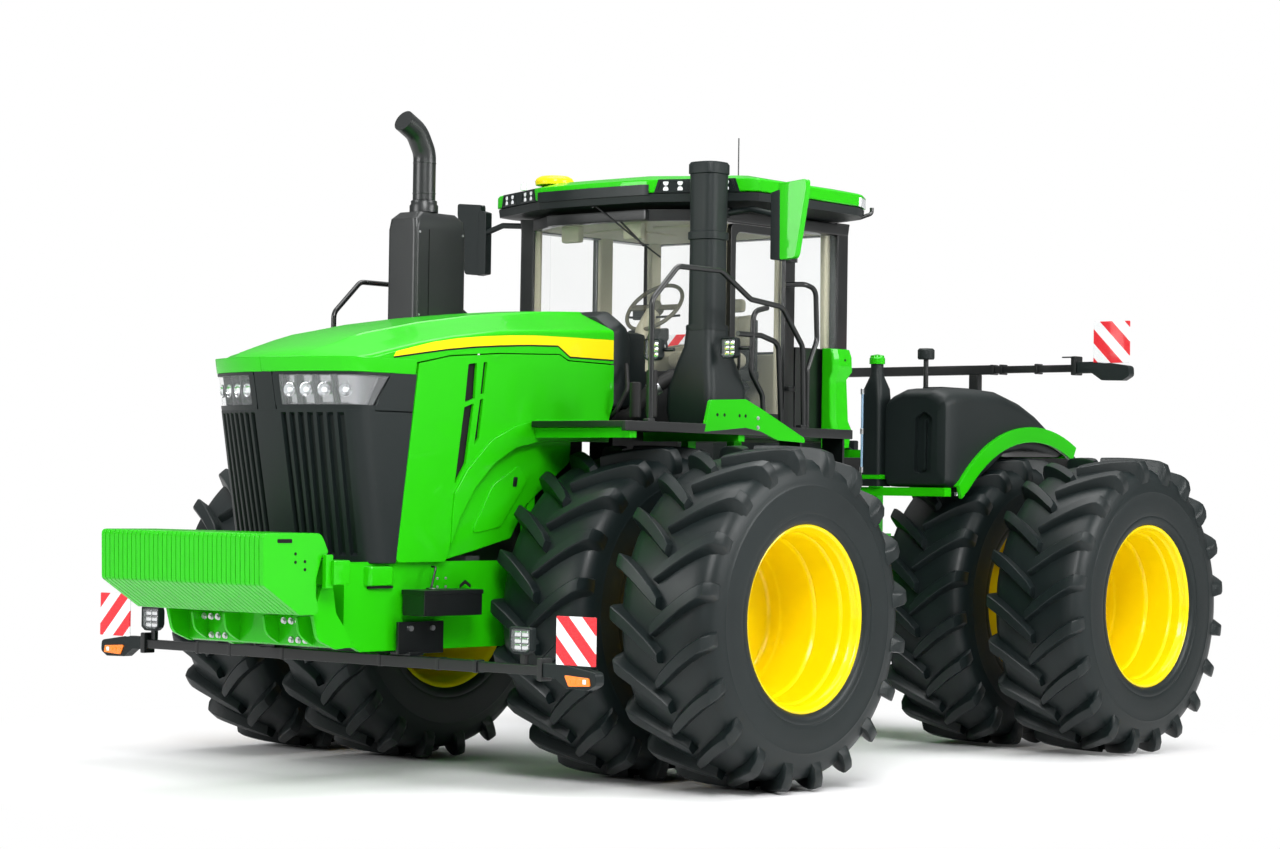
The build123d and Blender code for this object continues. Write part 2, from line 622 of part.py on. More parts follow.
def save_cab():
    """Cab frame of floor, posts and roof rails, hollow, with its windows open."""
    walls = [(-440, CAB_FRONT_Y), CAB_CORNER, CAB_SHOULDER, CAB_BACK]
    walls += [(-x, y) for x, y in (CAB_BACK, CAB_SHOULDER)]
    lintel = ROOF_UNDERSIDE_Z - 80
    panes = [
        ((-440, CAB_FRONT_Y), CAB_CORNER, 25, 2560),
        (CAB_CORNER, CAB_SHOULDER, 60, 2560),
        ((-CAB_HALF_WIDTH, HINGE_Y - 1050), (-440, CAB_FRONT_Y), 60, 2560),
        ((CAB_HALF_WIDTH, DOOR_HINGE_Y), CAB_BACK, 90, 2760),
        (CAB_BACK, (-CAB_HALF_WIDTH, CAB_REAR_Y), 130, 2760),
        ((-CAB_HALF_WIDTH, CAB_REAR_Y), (-CAB_HALF_WIDTH, DOOR_HINGE_Y), 90, 2760),
        ((-CAB_HALF_WIDTH, DOOR_HINGE_Y), (-CAB_HALF_WIDTH, DOOR_FRONT_Y), 0, 2300),
    ]
    with BuildPart() as cab:
        plan_plate(walls, (CAB_BOTTOM_Z, ROOF_UNDERSIDE_Z))
        inset = [
            (-410, CAB_FRONT_Y + POST),
            (410, CAB_FRONT_Y + POST),
            (CAB_HALF_WIDTH - POST, HINGE_Y - 1015),
            (CAB_HALF_WIDTH - POST, CAB_REAR_Y - POST),
            (POST - CAB_HALF_WIDTH, CAB_REAR_Y - POST),
            (POST - CAB_HALF_WIDTH, HINGE_Y - 1015),
        ]
        plan_plate(inset, (CAB_FLOOR_Z, ROOF_UNDERSIDE_Z - 40), Mode.SUBTRACT)
        for start, end, bare, sill in panes:
            plan_plate(strip(start, end, bare, (-60, POST + 40)), (sill, lintel), Mode.SUBTRACT)
        doorway = (CAB_HALF_WIDTH - POST - 40, CAB_HALF_WIDTH + 40)
        block(doorway, (DOOR_FRONT_Y, DOOR_HINGE_Y), (CAB_FLOOR_Z + 40, lintel), Mode.SUBTRACT)
        for z in DOOR_HINGE_HEIGHTS:
            bracket = [(-25, 60), (-25, 5), (-12, -12), (12, -12), (12, 15)]
            outline = [(DOOR_PIVOT_X + x, DOOR_PIVOT_Y + y) for x, y in bracket]
            plan_plate(outline, (z, z + DOOR_KNUCKLE))
            pivot = ((DOOR_PIVOT_X, DOOR_PIVOT_Y, z), (DOOR_PIVOT_X, DOOR_PIVOT_Y, z + 2 * DOOR_KNUCKLE + 8))
            bar(*pivot, DOOR_PIN_RADIUS)
    save(cab, "cab_frame")
    with BuildPart() as glass:
        for start, end, bare, sill in panes:
            outline = strip(start, end, bare + SEAT_GAP, (25, 25 + GLASS))
            plan_plate(outline, (sill + SEAT_GAP, lintel - SEAT_GAP))
    save(glass, "cab_glass")


def save_roof():
    """Roof with its overhang, and the receivers that stand on it."""
    with BuildPart() as roof:
        outline = [
            (440, HINGE_Y - 1370),
            (1160, HINGE_Y - 1045),
            (1110, HINGE_Y + 100),
            (980, HINGE_Y + 360),
            (800, HINGE_Y + 430),
        ]
        plan_plate(mirrored(outline), (ROOF_UNDERSIDE_Z, ROOF_TOP_Z))
        chamfer(roof.faces().sort_by(Axis.Z)[-1].edges(), 55)
    save(roof, "cab_roof")
    with BuildPart() as receivers:
        bar((-550, HINGE_Y - 1120, ROOF_TOP_Z), (-550, HINGE_Y - 1120, ROOF_TOP_Z + 90), 130)
        bar((150, HINGE_Y, ROOF_TOP_Z), (150, HINGE_Y, ROOF_TOP_Z + 60), 90)
        bar((150, HINGE_Y, ROOF_TOP_Z + 60), (150, HINGE_Y, ROOF_TOP_Z + 380), 8)
    save(receivers, "roof_receivers")


def save_door():
    """Left door: its frame, with the pane of glass held in it."""
    low, high = CAB_FLOOR_Z + 46, ROOF_UNDERSIDE_Z - 86
    front, rear = DOOR_FRONT_Y + 6, DOOR_HINGE_Y - 6
    rim = 55
    with BuildPart() as door:
        block((CAB_HALF_WIDTH - 40, CAB_HALF_WIDTH), (front, rear), (low, high))
        window = ((front + rim, rear - rim), (low + 70, high - rim))
        block((CAB_HALF_WIDTH - 60, CAB_HALF_WIDTH + 20), *window, Mode.SUBTRACT)
        for z in DOOR_HINGE_HEIGHTS:
            bracket = [(-25, -80), (-10, -80), (12, -20), (12, 12), (-10, 12), (-25, -25)]
            outline = [(DOOR_PIVOT_X + x, DOOR_PIVOT_Y + y) for x, y in bracket]
            base = z + DOOR_KNUCKLE + 1
            plan_plate(outline, (base, base + DOOR_KNUCKLE))
            pivot = ((DOOR_PIVOT_X, DOOR_PIVOT_Y, base), (DOOR_PIVOT_X, DOOR_PIVOT_Y, base + DOOR_KNUCKLE))
            bar(*pivot, DOOR_PIN_RADIUS + RUNNING_FIT, Mode.SUBTRACT)
    save(door, "cab_door")
    with BuildPart() as pane:
        block(
            (CAB_HALF_WIDTH - 24, CAB_HALF_WIDTH - 24 + GLASS),
            (front + rim + SEAT_GAP, rear - rim - SEAT_GAP),
            (low + 70 + SEAT_GAP, high - rim - SEAT_GAP),
        )
    save(pane, "door_glass")


def save_interior():
    """Operator's seat, its pedestal, the console and the steering column."""
    with BuildPart() as seat:
        block((-260, 260), (HINGE_Y - 320, HINGE_Y + 160), (2620 + SEAT_GAP, 2740))
        block((-250, 250), (HINGE_Y + 50, HINGE_Y + 160), (2740, 3130))
    save(seat, "seat")
    with BuildPart() as controls:
        block((-200, 200), (HINGE_Y - 280, HINGE_Y + 140), (CAB_FLOOR_Z, 2620))
        block((-430, -300), (HINGE_Y - 420, HINGE_Y + 120), (CAB_FLOOR_Z, 2840))
        column = [
            (HINGE_Y - 980, CAB_FLOOR_Z),
            (HINGE_Y - 860, CAB_FLOOR_Z),
            (HINGE_Y - 740, 2990),
            (HINGE_Y - 800, 2990),
        ]
        side_plate(column, (-60, 60))
        wheel = ((0, HINGE_Y - 770, 2985), (0, HINGE_Y - 762, 3015))
        bar(*wheel, 205)
    save(controls, "cab_controls")


def save_platforms():
    """Walkways beside the cab, their handrails, the ladder and the box at the cab's corner."""
    with BuildPart() as decks:
        for side in (-1, 1):
            span = sorted((side * (CAB_HALF_WIDTH + SEAT_GAP), side * DECK_EDGE_X))
            block(span, (HINGE_Y - 2600, HINGE_Y - 300), (DECK_BOTTOM_Z, DECK_Z))
            front = sorted((side * (HOOD_HALF_WIDTH + 25), side * (CAB_HALF_WIDTH + SEAT_GAP)))
            block(front, (HINGE_Y - 2600, HINGE_Y - 1360), (DECK_BOTTOM_Z, DECK_Z))
    save(decks, "platforms")
    with BuildPart() as rails:
        for side in (-1, 1):
            x = side * (DECK_EDGE_X - 25)
            heights = (
                # Y, Z
                (HINGE_Y - 2340, DECK_Z),
                (HINGE_Y - 2340, 2930),
                (HINGE_Y - 2120, 3150),
                (HINGE_Y - 1700, 3140),
                (HINGE_Y - 1360, 2970),
                (HINGE_Y - 1070, 2960),
                (HINGE_Y - 900, 2700),
                (HINGE_Y - 900, DECK_Z),
            )
            points = [(x, y, z) for y, z in heights]
            with BuildLine() as route:
                Polyline(*points)
            with BuildSketch(Plane(origin=points[0], z_dir=(0, 0, 1))) as section:
                Circle(RAIL_RADIUS)
            sweep(section.sketch, path=route.line, transition=Transition.RIGHT)
    save(rails, "handrails")
    with BuildPart() as ladder:
        rear_y = LADDER_FRONT_Y + LADDER_WIDTH
        for y in (LADDER_FRONT_Y, rear_y - 12):
            block((DECK_EDGE_X - 150, DECK_EDGE_X - 110), (y, y + 12), (520, DECK_BOTTOM_Z))
        for step in range(5):
            z = 560 + step * 330
            block((DECK_EDGE_X - 200, DECK_EDGE_X), (LADDER_FRONT_Y, rear_y), (z, z + 25))
    save(ladder, "ladder")
    with BuildPart() as corner:
        outer_x = CAB_HALF_WIDTH + CORNER_BOX
        low, high = CAB_BOTTOM_Z - 40, CAB_BOTTOM_Z + 640
        block((CAB_HALF_WIDTH + SEAT_GAP, outer_x), (HINGE_Y, HINGE_Y + 210), (low, high))
        fillet(corner.edges().filter_by(Axis.Z).sort_by(Axis.X)[-2:], 40)
        recess = (outer_x - 20, outer_x + 20)
        block(recess, (HINGE_Y + 50, HINGE_Y + 160), (high - 340, high - 80), Mode.SUBTRACT)
    save(corner, "cab_corner_box")
    with BuildPart() as toolbox:
        left = CHASSIS_HALF_WIDTH + SEAT_GAP
        z = CHASSIS_BOTTOM + 200
        block((left, left + 210), (TOOLBOX_REAR_Y - 510, TOOLBOX_REAR_Y), (z, z + 160))
    save(toolbox, "toolbox")


def save_lamps():
    """Mirrors on their arms and the work lamps of the front body."""
    with BuildPart() as mirrors:
        for side in (-1, 1):
            arm = sorted((side * 1160, side * 1400))
            block(arm, (HINGE_Y - 1030, HINGE_Y - 1000), (3690, 3720))
            head = sorted((side * 1300, side * 1490))
            block(head, (HINGE_Y - 1045, HINGE_Y - 985), (3270, 3690))
    save(mirrors, "mirrors")
    with BuildPart() as lamps:
        for x in (-1650, 1550):
            bar((x, FRONT_BAR_Y, FRONT_BAR_Z + LIGHT_BAR_TUBE / 2), (x, FRONT_BAR_Y, 860), 12)
            block((x - 95, x + 95), (FRONT_BAR_Y - 40, FRONT_BAR_Y + 40), (850, 1000))
    save(lamps, "work_lamps")


# Rear body --------------------------------------------------------------------------------------


def tank_top_at(y):
    """Height of the fuel tank's sloping top."""
    share = (y - TANK_CREST_Y) / (TANK_SLOPE_END_Y - TANK_CREST_Y)
    return TANK_TOP_Z + share * (TANK_SLOPE_END_Z - TANK_TOP_Z)


def save_rear_body():
    """Fuel tanks, the fluid column, fenders and drawbar."""
    with BuildPart() as tank:
        outline = [
            (TANK_FRONT_Y, TANK_BOTTOM_Z),
            (TANK_FRONT_Y, TANK_TOP_Z - 130),
            (TANK_FRONT_Y + 100, TANK_TOP_Z - 20),
            (TANK_CREST_Y, TANK_TOP_Z),
            (TANK_SLOPE_END_Y, TANK_SLOPE_END_Z),
            (HINGE_Y + 2600, TANK_BELLY_Z),
            (HINGE_Y + 1250, TANK_BELLY_Z),
            (HINGE_Y + 1020, TANK_BOTTOM_Z),
        ]
        for side in (-1, 1):
            side_plate(outline, sorted((side * TANK_INNER_X, side * TANK_OUTER_X)))
    save(tank, "fuel_tank")
    with BuildPart() as column:
        x, y = TANK_INNER_X - 105, TANK_FRONT_Y + 50
        bar((x, y, TANK_BOTTOM_Z), (x, y, 2600), 90)
        bar((x, y, 2600), (x, y, 2700), 45)
        bar((x, y, 2700), (x, y, 2770), 60)
    save(column, "fluid_column")
    with BuildPart() as fenders:
        for side in (-1, 1):
            start = sorted((side * (TANK_OUTER_X + SEAT_GAP), side * (TANK_OUTER_X + 30)))
            with BuildSketch(Plane.YZ.offset(start[0])) as arch:
                with Locations((REAR_AXLE_Y, TYRE_RADIUS)):
                    Circle(FENDER_OUTER)
                    Circle(FENDER_INNER, mode=Mode.SUBTRACT)
                    Rectangle(1760, 2 * FENDER_OUTER, mode=Mode.INTERSECT)
                    with Locations((0, -870)):
                        Rectangle(2 * FENDER_OUTER, 3400, mode=Mode.SUBTRACT)
            extrude(arch.sketch, amount=start[1] - start[0])
    save(fenders, "rear_fenders")
    with BuildPart() as drawbar:
        top = DRAWBAR_TOP_Z - SEAT_GAP
        block((-60, 60), (REAR_AXLE_Y + 300, REAR_Y), (top - 50, top))
        bar((0, REAR_Y - 80, top - 60), (0, REAR_Y - 80, top + 10), DRAWBAR_PIN_RADIUS, Mode.SUBTRACT)
    save(drawbar, "drawbar")


def save_light_bar(name, y, z, supports):
    """Square tube across the machine, with its supports as (X span, Z span) on each side."""
    half = LIGHT_BAR_HALF_WIDTH
    size = LIGHT_BAR_TUBE / 2
    with BuildPart() as beam:
        block((-half, half), (y - size, y + size), (z - size, z + size))
        for x, height in supports:
            for side in (-1, 1):
                block(sorted((side * x[0], side * x[1])), (y - size, y + size), height)
    save(beam, f"{name}_light_bar")
    with BuildPart() as markers:
        face_y = y - size - SEAT_GAP if name == "front" else y + size + SEAT_GAP
        span_y = sorted((face_y, face_y + MARKER_PLATE * (-1 if name == "front" else 1)))
        for side in (-1, 1):
            plate = sorted((side * half, side * (half - MARKER_SIZE)))
            block(plate, span_y, (z, z + MARKER_SIZE + size))
            lamp = sorted((side * half, side * (half - 140)))
            block(lamp, (y - 30, y + 30), (z - size - 70, z - size - SEAT_GAP))
    save(markers, f"{name}_markers")


save_wheels(make_tyre())
save_axle("front_axle", FRONT_AXLE_Y)
save_axle("rear_axle", REAR_AXLE_Y)
save_front_chassis()
save_rear_chassis()
save_knuckle()
save_cylinders()
save_engine()
save_weights()
save_hood()
save_stacks()
save_cab()
save_roof()
save_door()
save_interior()
save_platforms()
save_lamps()
save_rear_body()
bar_half = LIGHT_BAR_TUBE / 2
save_light_bar(
    "front",
    FRONT_BAR_Y,
    FRONT_BAR_Z,
    [((480, 620), (FRONT_BAR_Z + bar_half, CHASSIS_BOTTOM - SEAT_GAP))],
)
tank_top = tank_top_at(REAR_BAR_Y - bar_half) + SEAT_GAP
save_light_bar("rear", REAR_BAR_Y, REAR_BAR_Z, [((860, 940), (tank_top, REAR_BAR_Z - bar_half))])
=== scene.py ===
"""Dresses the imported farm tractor: smooth panels, tyres, cab, lamps, finishes, light and camera.

Laid out as an add-on, with one operator for each group of pieces, and run as a script. Lengths are in
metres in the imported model's frame: the front is towards -Y, the tractor's left is +X and +Z is up.
"""

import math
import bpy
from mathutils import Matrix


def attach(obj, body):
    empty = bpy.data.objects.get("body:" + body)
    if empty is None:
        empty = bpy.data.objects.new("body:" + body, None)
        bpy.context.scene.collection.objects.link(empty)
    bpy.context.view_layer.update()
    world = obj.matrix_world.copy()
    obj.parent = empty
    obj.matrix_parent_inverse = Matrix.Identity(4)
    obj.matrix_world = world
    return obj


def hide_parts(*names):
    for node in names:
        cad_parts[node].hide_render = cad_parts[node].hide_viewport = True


bl_info = {
    "name": "Farm Tractor Dressing", "version": (1, 0, 0), "blender": (4, 5, 0),
    "location": "View3D > Sidebar > Tractor",
    "description": "Builds the visible surfaces of an articulated farm tractor on its packed frame",
    "category": "Object"
}

import bmesh
import bpy
from bpy.props import FloatProperty, FloatVectorProperty, IntProperty, PointerProperty
from mathutils import Matrix, Vector

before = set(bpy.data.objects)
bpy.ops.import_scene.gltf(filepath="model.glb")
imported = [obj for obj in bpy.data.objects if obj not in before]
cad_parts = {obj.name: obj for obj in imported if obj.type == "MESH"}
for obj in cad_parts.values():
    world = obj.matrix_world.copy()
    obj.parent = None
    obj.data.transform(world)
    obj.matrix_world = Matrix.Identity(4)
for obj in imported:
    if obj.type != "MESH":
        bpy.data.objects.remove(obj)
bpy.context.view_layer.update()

HINGE = 0.722  # the upright pin between the two halves
FRONT_AXLE = -1.234
REAR_AXLE = 2.678
AXLE_Z = 1.03
INNER_WHEEL = 0.998
OUTER_WHEEL = 1.949
SIDES = (1, -1)
FULL_TURN = 2 * math.pi


# Settings ---------------------------------------------------------------------------------------


def colour_setting(name, description, default):
    """A colour that a user can change."""
    return FloatVectorProperty(
        name=name, description=description, subtype="COLOR", size=3, min=0.0, max=1.0, default=default
    )


def length_setting(name, description, default):
    """A length in metres that a user can change."""
    return FloatProperty(name=name, description=description, default=default, min=0.001, unit="LENGTH")


class TractorColours(bpy.types.PropertyGroup):
    """Paints and plastics."""

    body: colour_setting("Body paint", "Paint of the hood, roof, frames and weights", (0.018, 0.47, 0.001))
    wheel: colour_setting("Wheel paint", "Paint of the rims and the side stripe", (0.86, 0.66, 0.001))
    tyre: colour_setting("Tyre rubber", "Rubber of the tyres", (0.0048, 0.0090, 0.0092))
    plastic: colour_setting("Black plastic", "Grille, tanks, stacks and cowl", (0.0062, 0.0105, 0.0104))
    steel: colour_setting("Black steel", "Cab posts, rails and light bars", (0.0028, 0.0042, 0.0043))
    trim: colour_setting("Cab trim", "Posts, headliner and panels inside the cab", (0.44, 0.42, 0.30))
    indicator: colour_setting("Indicator lens", "Lens of the turn indicators", (0.95, 0.22, 0.01))
    warning: colour_setting("Marker red", "Red bands of the marker plates", (0.7, 0.01, 0.02))


class TractorSizes(bpy.types.PropertyGroup):
    """Sizes of the pieces that repeat or follow a rule."""

    tyre_radius: length_setting("Tyre radius", "Ground to axle, over the lugs", 1.03)
    tyre_width: length_setting("Tyre width", "Width over the sidewalls", 0.71)
    lug_count: IntProperty(name="Lugs", description="Lugs on each half of a tread", default=20, min=8, max=30)
    weight_count: IntProperty(
        name="Weights", description="Plates hung on the nose", default=36, min=4, max=60
    )
    rail_radius: length_setting("Rail radius", "Radius of the hand rails' tube", 0.0175)
    slot_count: IntProperty(
        name="Grille slots", description="Slots each side of the grille", default=7, min=2, max=12
    )
    bolt_radius: length_setting("Bolt radius", "Across-corner radius of a common bolt head", 0.014)


# Shader nodes -----------------------------------------------------------------------------------


class Value:
    """One socket of a shader, usable in sums."""

    def __init__(self, graph, socket):
        self.graph = graph
        self.socket = socket

    def _sum(self, operation, first, second):
        return self.graph.node("ShaderNodeMath", {"operation": operation}, {0: first, 1: second})

    def __add__(self, other):
        return self._sum("ADD", self, other)

    __radd__ = __add__

    def __sub__(self, other):
        return self._sum("SUBTRACT", self, other)

    def __rsub__(self, other):
        return self._sum("SUBTRACT", other, self)

    def __mul__(self, other):
        return self._sum("MULTIPLY", self, other)

    __rmul__ = __mul__

    def __truediv__(self, other):
        return self._sum("DIVIDE", self, other)

    def __gt__(self, other):
        return self._sum("GREATER_THAN", self, other)

    def __lt__(self, other):
        return self._sum("LESS_THAN", self, other)

    def __pow__(self, other):
        return self._sum("POWER", self, other)

    def wave(self):
        """Its sine."""
        return self.graph.node("ShaderNodeMath", {"operation": "SINE"}, {0: self})

    def size(self):
        """Its distance from nought."""
        return self.graph.node("ShaderNodeMath", {"operation": "ABSOLUTE"}, {0: self})

    def part(self):
        """What it has past the whole number."""
        return self.graph.node("ShaderNodeMath", {"operation": "FRACT"}, {0: self})


class Finish:
    """A material made from nodes."""

    def __init__(self, name):
        self.material = bpy.data.materials.new(name)
        self.material.use_nodes = True
        self.tree = self.material.node_tree
        self.tree.nodes.clear()
        self.count = 0

    def node(self, kind, settings=None, inputs=None, out=0):
        """Makes a node of any type: settings first, then the values or links of its sockets."""
        made = self.tree.nodes.new(kind)
        made.location = (self.count % 8 * 200, -(self.count // 8) * 260)
        self.count += 1
        for name, value in (settings or {}).items():
            if name == "stops":
                self._set_stops(made, value)
            else:
                setattr(made, name, value)
        for name, value in (inputs or {}).items():
            if isinstance(value, Value):
                self.tree.links.new(value.socket, made.inputs[name])
            else:
                made.inputs[name].default_value = value
        return Value(self, made.outputs[out]) if len(made.outputs) else made

    def _set_stops(self, ramp, stops):
        points = ramp.color_ramp.elements
        while len(points) > len(stops):
            points.remove(points[-1])
        while len(points) < len(stops):
            points.new(1.0)
        for point, (place, colour) in zip(points, stops):
            point.position = place
            point.color = (*colour, 1.0) if len(colour) == 3 else colour

    def place(self):
        """Object coordinates, in metres."""
        return self.node("ShaderNodeTexCoord", out="Object")

    def axes(self, place):
        """The three parts of a vector."""
        split = self.node("ShaderNodeSeparateXYZ", inputs={0: place})
        outputs = split.socket.node.outputs
        return [Value(self, outputs[index]) for index in range(3)]

    def noise(self, place, scale, detail=3.0, roughness=0.5):
        """Cloudy noise from 0 to 1."""
        return self.node(
            "ShaderNodeTexNoise",
            inputs={"Vector": place, "Scale": scale, "Detail": detail, "Roughness": roughness}
        )

    def cells(self, place, scale):
        """Distance to the nearest of scattered points, for grain."""
        return self.node("ShaderNodeTexVoronoi", inputs={"Vector": place, "Scale": scale})

    def blend(self, share, first, second):
        """A mix of two colours."""
        mixed = self.node("ShaderNodeMix", {"data_type": "RGBA"})
        made = mixed.socket.node
        for index, value in ((0, share), (6, first), (7, second)):
            if isinstance(value, Value):
                self.tree.links.new(value.socket, made.inputs[index])
            elif index == 0:
                made.inputs[index].default_value = value
            else:
                made.inputs[index].default_value = (*value, 1.0)
        return Value(self, made.outputs[2])

    def spread(self, value, low, high):
        """A 0 to 1 value spread over another range."""
        return value * (high - low) + low

    def relief(self, height, distance, strength=0.6):
        """A normal bent by a height."""
        return self.node(
            "ShaderNodeBump", inputs={"Height": height, "Distance": distance, "Strength": strength}
        )

    def surface(self, **sockets):
        """The Principled shader and the output; names use _ for spaces."""
        inputs = {name.replace("_", " "): value for name, value in sockets.items()}
        for name in ("Base Color", "Emission Color"):
            if name in inputs and not isinstance(inputs[name], Value) and len(inputs[name]) == 3:
                inputs[name] = (*inputs[name], 1.0)
        shader = self.node("ShaderNodeBsdfPrincipled", inputs=inputs)
        self.node("ShaderNodeOutputMaterial", inputs={"Surface": shader})
        return self.material


def shade(colour, share):
    """A colour made darker or lighter."""
    return tuple(min(1.0, channel * share) for channel in colour)


def gloss_paint(name, colour):
    """Sprayed enamel: faint orange peel, cloudy tone and a clear coat."""
    finish = Finish(name)
    place = finish.place()
    cloud = finish.noise(place, 1.4, 4.0)
    dust = finish.noise(place, 26.0, 6.0, 0.7)
    tone = finish.blend(finish.spread(cloud, 0.0, 0.5), shade(colour, 0.93), shade(colour, 1.06))
    peel = finish.noise(place, 420.0, 1.0)
    return finish.surface(
        Base_Color=tone, Roughness=finish.spread(dust, 0.3, 0.42), Specular_IOR_Level=0.12,
        Coat_Weight=finish.spread(dust, 0.5, 0.3), Coat_Roughness=0.05,
        Normal=finish.relief(peel, 0.0006, 0.12)
    )


def tyre_rubber(name, colour):
    """Moulded rubber: fine grain, paler scuffs and a dull sheen."""
    finish = Finish(name)
    place = finish.place()
    cloud = finish.noise(place, 3.2, 5.0, 0.65)
    scuff = finish.noise(place, 38.0, 6.0, 0.75)
    grain = finish.noise(place, 620.0, 2.0, 0.6)
    tone = finish.blend(cloud, shade(colour, 0.72), shade(colour, 1.45))
    tone = finish.blend(finish.spread(scuff > 0.62, 0.0, 0.2), tone, shade(colour, 2.6))
    height = finish.spread(grain, 0.0, 0.5) + finish.spread(scuff, 0.0, 0.5)
    return finish.surface(
        Base_Color=tone, Roughness=finish.spread(cloud, 0.34, 0.5), Specular_IOR_Level=0.34,
        Normal=finish.relief(height, 0.0014, 0.35)
    )


def moulded_plastic(name, colour, grain=900.0, low=0.4, high=0.56, depth=0.0005):
    """Injection-moulded plastic with a leathered grain."""
    finish = Finish(name)
    place = finish.place()
    pebbles = finish.cells(place, grain)
    cloud = finish.noise(place, 2.6, 4.0)
    tone = finish.blend(cloud, shade(colour, 0.86), shade(colour, 1.2))
    return finish.surface(
        Base_Color=tone, Roughness=finish.spread(cloud, low, high), Specular_IOR_Level=0.3,
        Normal=finish.relief(pebbles, depth, 0.35)
    )


def satin_steel(name, colour, low=0.28, high=0.42):
    """Powder-coated steel."""
    finish = Finish(name)
    place = finish.place()
    cloud = finish.noise(place, 5.0, 4.0)
    fine = finish.noise(place, 700.0, 2.0)
    tone = finish.blend(cloud, shade(colour, 0.85), shade(colour, 1.25))
    return finish.surface(
        Base_Color=tone, Roughness=finish.spread(cloud, low, high), Coat_Weight=0.25, Coat_Roughness=0.2,
        Normal=finish.relief(fine, 0.0004, 0.3)
    )


def bare_metal(name, colour, roughness, grain=90.0):
    """Zinc, chrome or cast metal by its roughness."""
    finish = Finish(name)
    place = finish.place()
    cloud = finish.noise(place, grain, 4.0, 0.6)
    return finish.surface(
        Base_Color=finish.blend(cloud, shade(colour, 0.85), colour), Metallic=1.0,
        Roughness=finish.spread(cloud, roughness * 0.8, roughness * 1.3),
        Normal=finish.relief(cloud, 0.0006 * roughness, 0.3)
    )


def cast_block(name, colour):
    """Rough castings under a thin coat of paint."""
    finish = Finish(name)
    place = finish.place()
    lumps = finish.noise(place, 60.0, 6.0, 0.7)
    return finish.surface(
        Base_Color=finish.blend(lumps, shade(colour, 0.7), shade(colour, 1.4)),
        Roughness=finish.spread(lumps, 0.5, 0.75), Normal=finish.relief(lumps, 0.003, 0.6)
    )


def clear_pane(name, tint, alpha, roughness=0.02):
    """A thin clear pane or lens, slightly smeared."""
    finish = Finish(name)
    place = finish.place()
    smear = finish.noise(place, 3.0, 3.0)
    return finish.surface(
        Base_Color=(*tint, 1.0), Roughness=finish.spread(smear, roughness, roughness * 2.5),
        Specular_IOR_Level=0.6, Alpha=finish.spread(smear, alpha * 0.85, alpha * 1.15)
    )


def lens_plastic(name, colour, glow=0.0):
    """Coloured lens with the ribs of its optics."""
    finish = Finish(name)
    place = finish.place()
    _, _, height = finish.axes(place)
    ribs = (height * 900.0).wave()
    return finish.surface(
        Base_Color=finish.blend(finish.spread(ribs, 0.35, 0.65), shade(colour, 0.75), colour),
        Roughness=0.12, Coat_Weight=0.8, Coat_Roughness=0.03, Emission_Color=(*colour, 1.0),
        Emission_Strength=glow, Normal=finish.relief(ribs, 0.0004, 0.4)
    )


def marker_sheet(name, red, slope, band=0.1):
    """Reflective sheet in red and white diagonal bands."""
    finish = Finish(name)
    place = finish.place()
    across, _, height = finish.axes(place)
    phase = ((across * slope + height) / (band * 2.0) + 40.0).part()
    comb = finish.cells(place, 240.0)
    white = finish.blend(comb, (0.72, 0.73, 0.74), (0.86, 0.87, 0.88))
    bands = finish.blend(phase > 0.5, white, red)
    return finish.surface(
        Base_Color=bands, Roughness=finish.spread(comb, 0.22, 0.38), Coat_Weight=0.4,
        Normal=finish.relief(comb, 0.0004, 0.3)
    )


def woven_cloth(name, colour, pitch=0.004):
    """Upholstery: a plain weave with a soft sheen."""
    finish = Finish(name)
    place = finish.place()
    across, along, height = finish.axes(place)
    warp = (across * (FULL_TURN / pitch)).wave()
    weft = ((along + height) * (FULL_TURN / pitch)).wave()
    weave = warp * weft
    cloud = finish.noise(place, 9.0, 4.0)
    tone = finish.blend(finish.spread(weave, 0.35, 0.65), shade(colour, 0.72), shade(colour, 1.12))
    tone = finish.blend(finish.spread(cloud, 0.0, 0.4), tone, shade(colour, 0.8))
    return finish.surface(
        Base_Color=tone, Roughness=finish.spread(cloud, 0.78, 0.95), Sheen_Weight=0.25,
        Normal=finish.relief(weave, 0.0007, 0.5)
    )


def pale_floor(name, reach):
    """White ground that keeps the soft shadow and fades into the background with distance."""
    finish = Finish(name)
    place = finish.place()
    across, along, _ = finish.axes(place)
    distance = ((across * across + along * along) ** 0.5) / reach
    fade = finish.node(
        "ShaderNodeMapRange", {"interpolation_type": "SMOOTHSTEP"}, {0: distance, 1: 0.5, 2: 1.0}
    )
    rays = finish.node("ShaderNodeLightPath")
    outputs = rays.socket.node.outputs
    seen = Value(finish, outputs["Is Camera Ray"]) + Value(finish, outputs["Is Glossy Ray"])
    seen = seen + Value(finish, outputs["Is Transmission Ray"])
    ground = finish.node(
        "ShaderNodeBsdfPrincipled", inputs={"Base Color": (0.82, 0.82, 0.83, 1.0), "Roughness": 0.9}
    )
    glow = finish.node("ShaderNodeEmission", inputs={"Color": (1, 1, 1, 1), "Strength": 1.0})
    mixed = finish.node("ShaderNodeMixShader", inputs={0: fade * (seen > 0.5), 1: ground, 2: glow})
    finish.node("ShaderNodeOutputMaterial", inputs={"Surface": mixed})
    return finish.material


FINISHES = {}


def finish_for(name):
    """A finish from the shared set, made when it is first asked for."""
    if name not in FINISHES:
        FINISHES[name] = FINISH_MAKERS[name](name, bpy.context.scene.tractor_colours)
    return FINISHES[name]


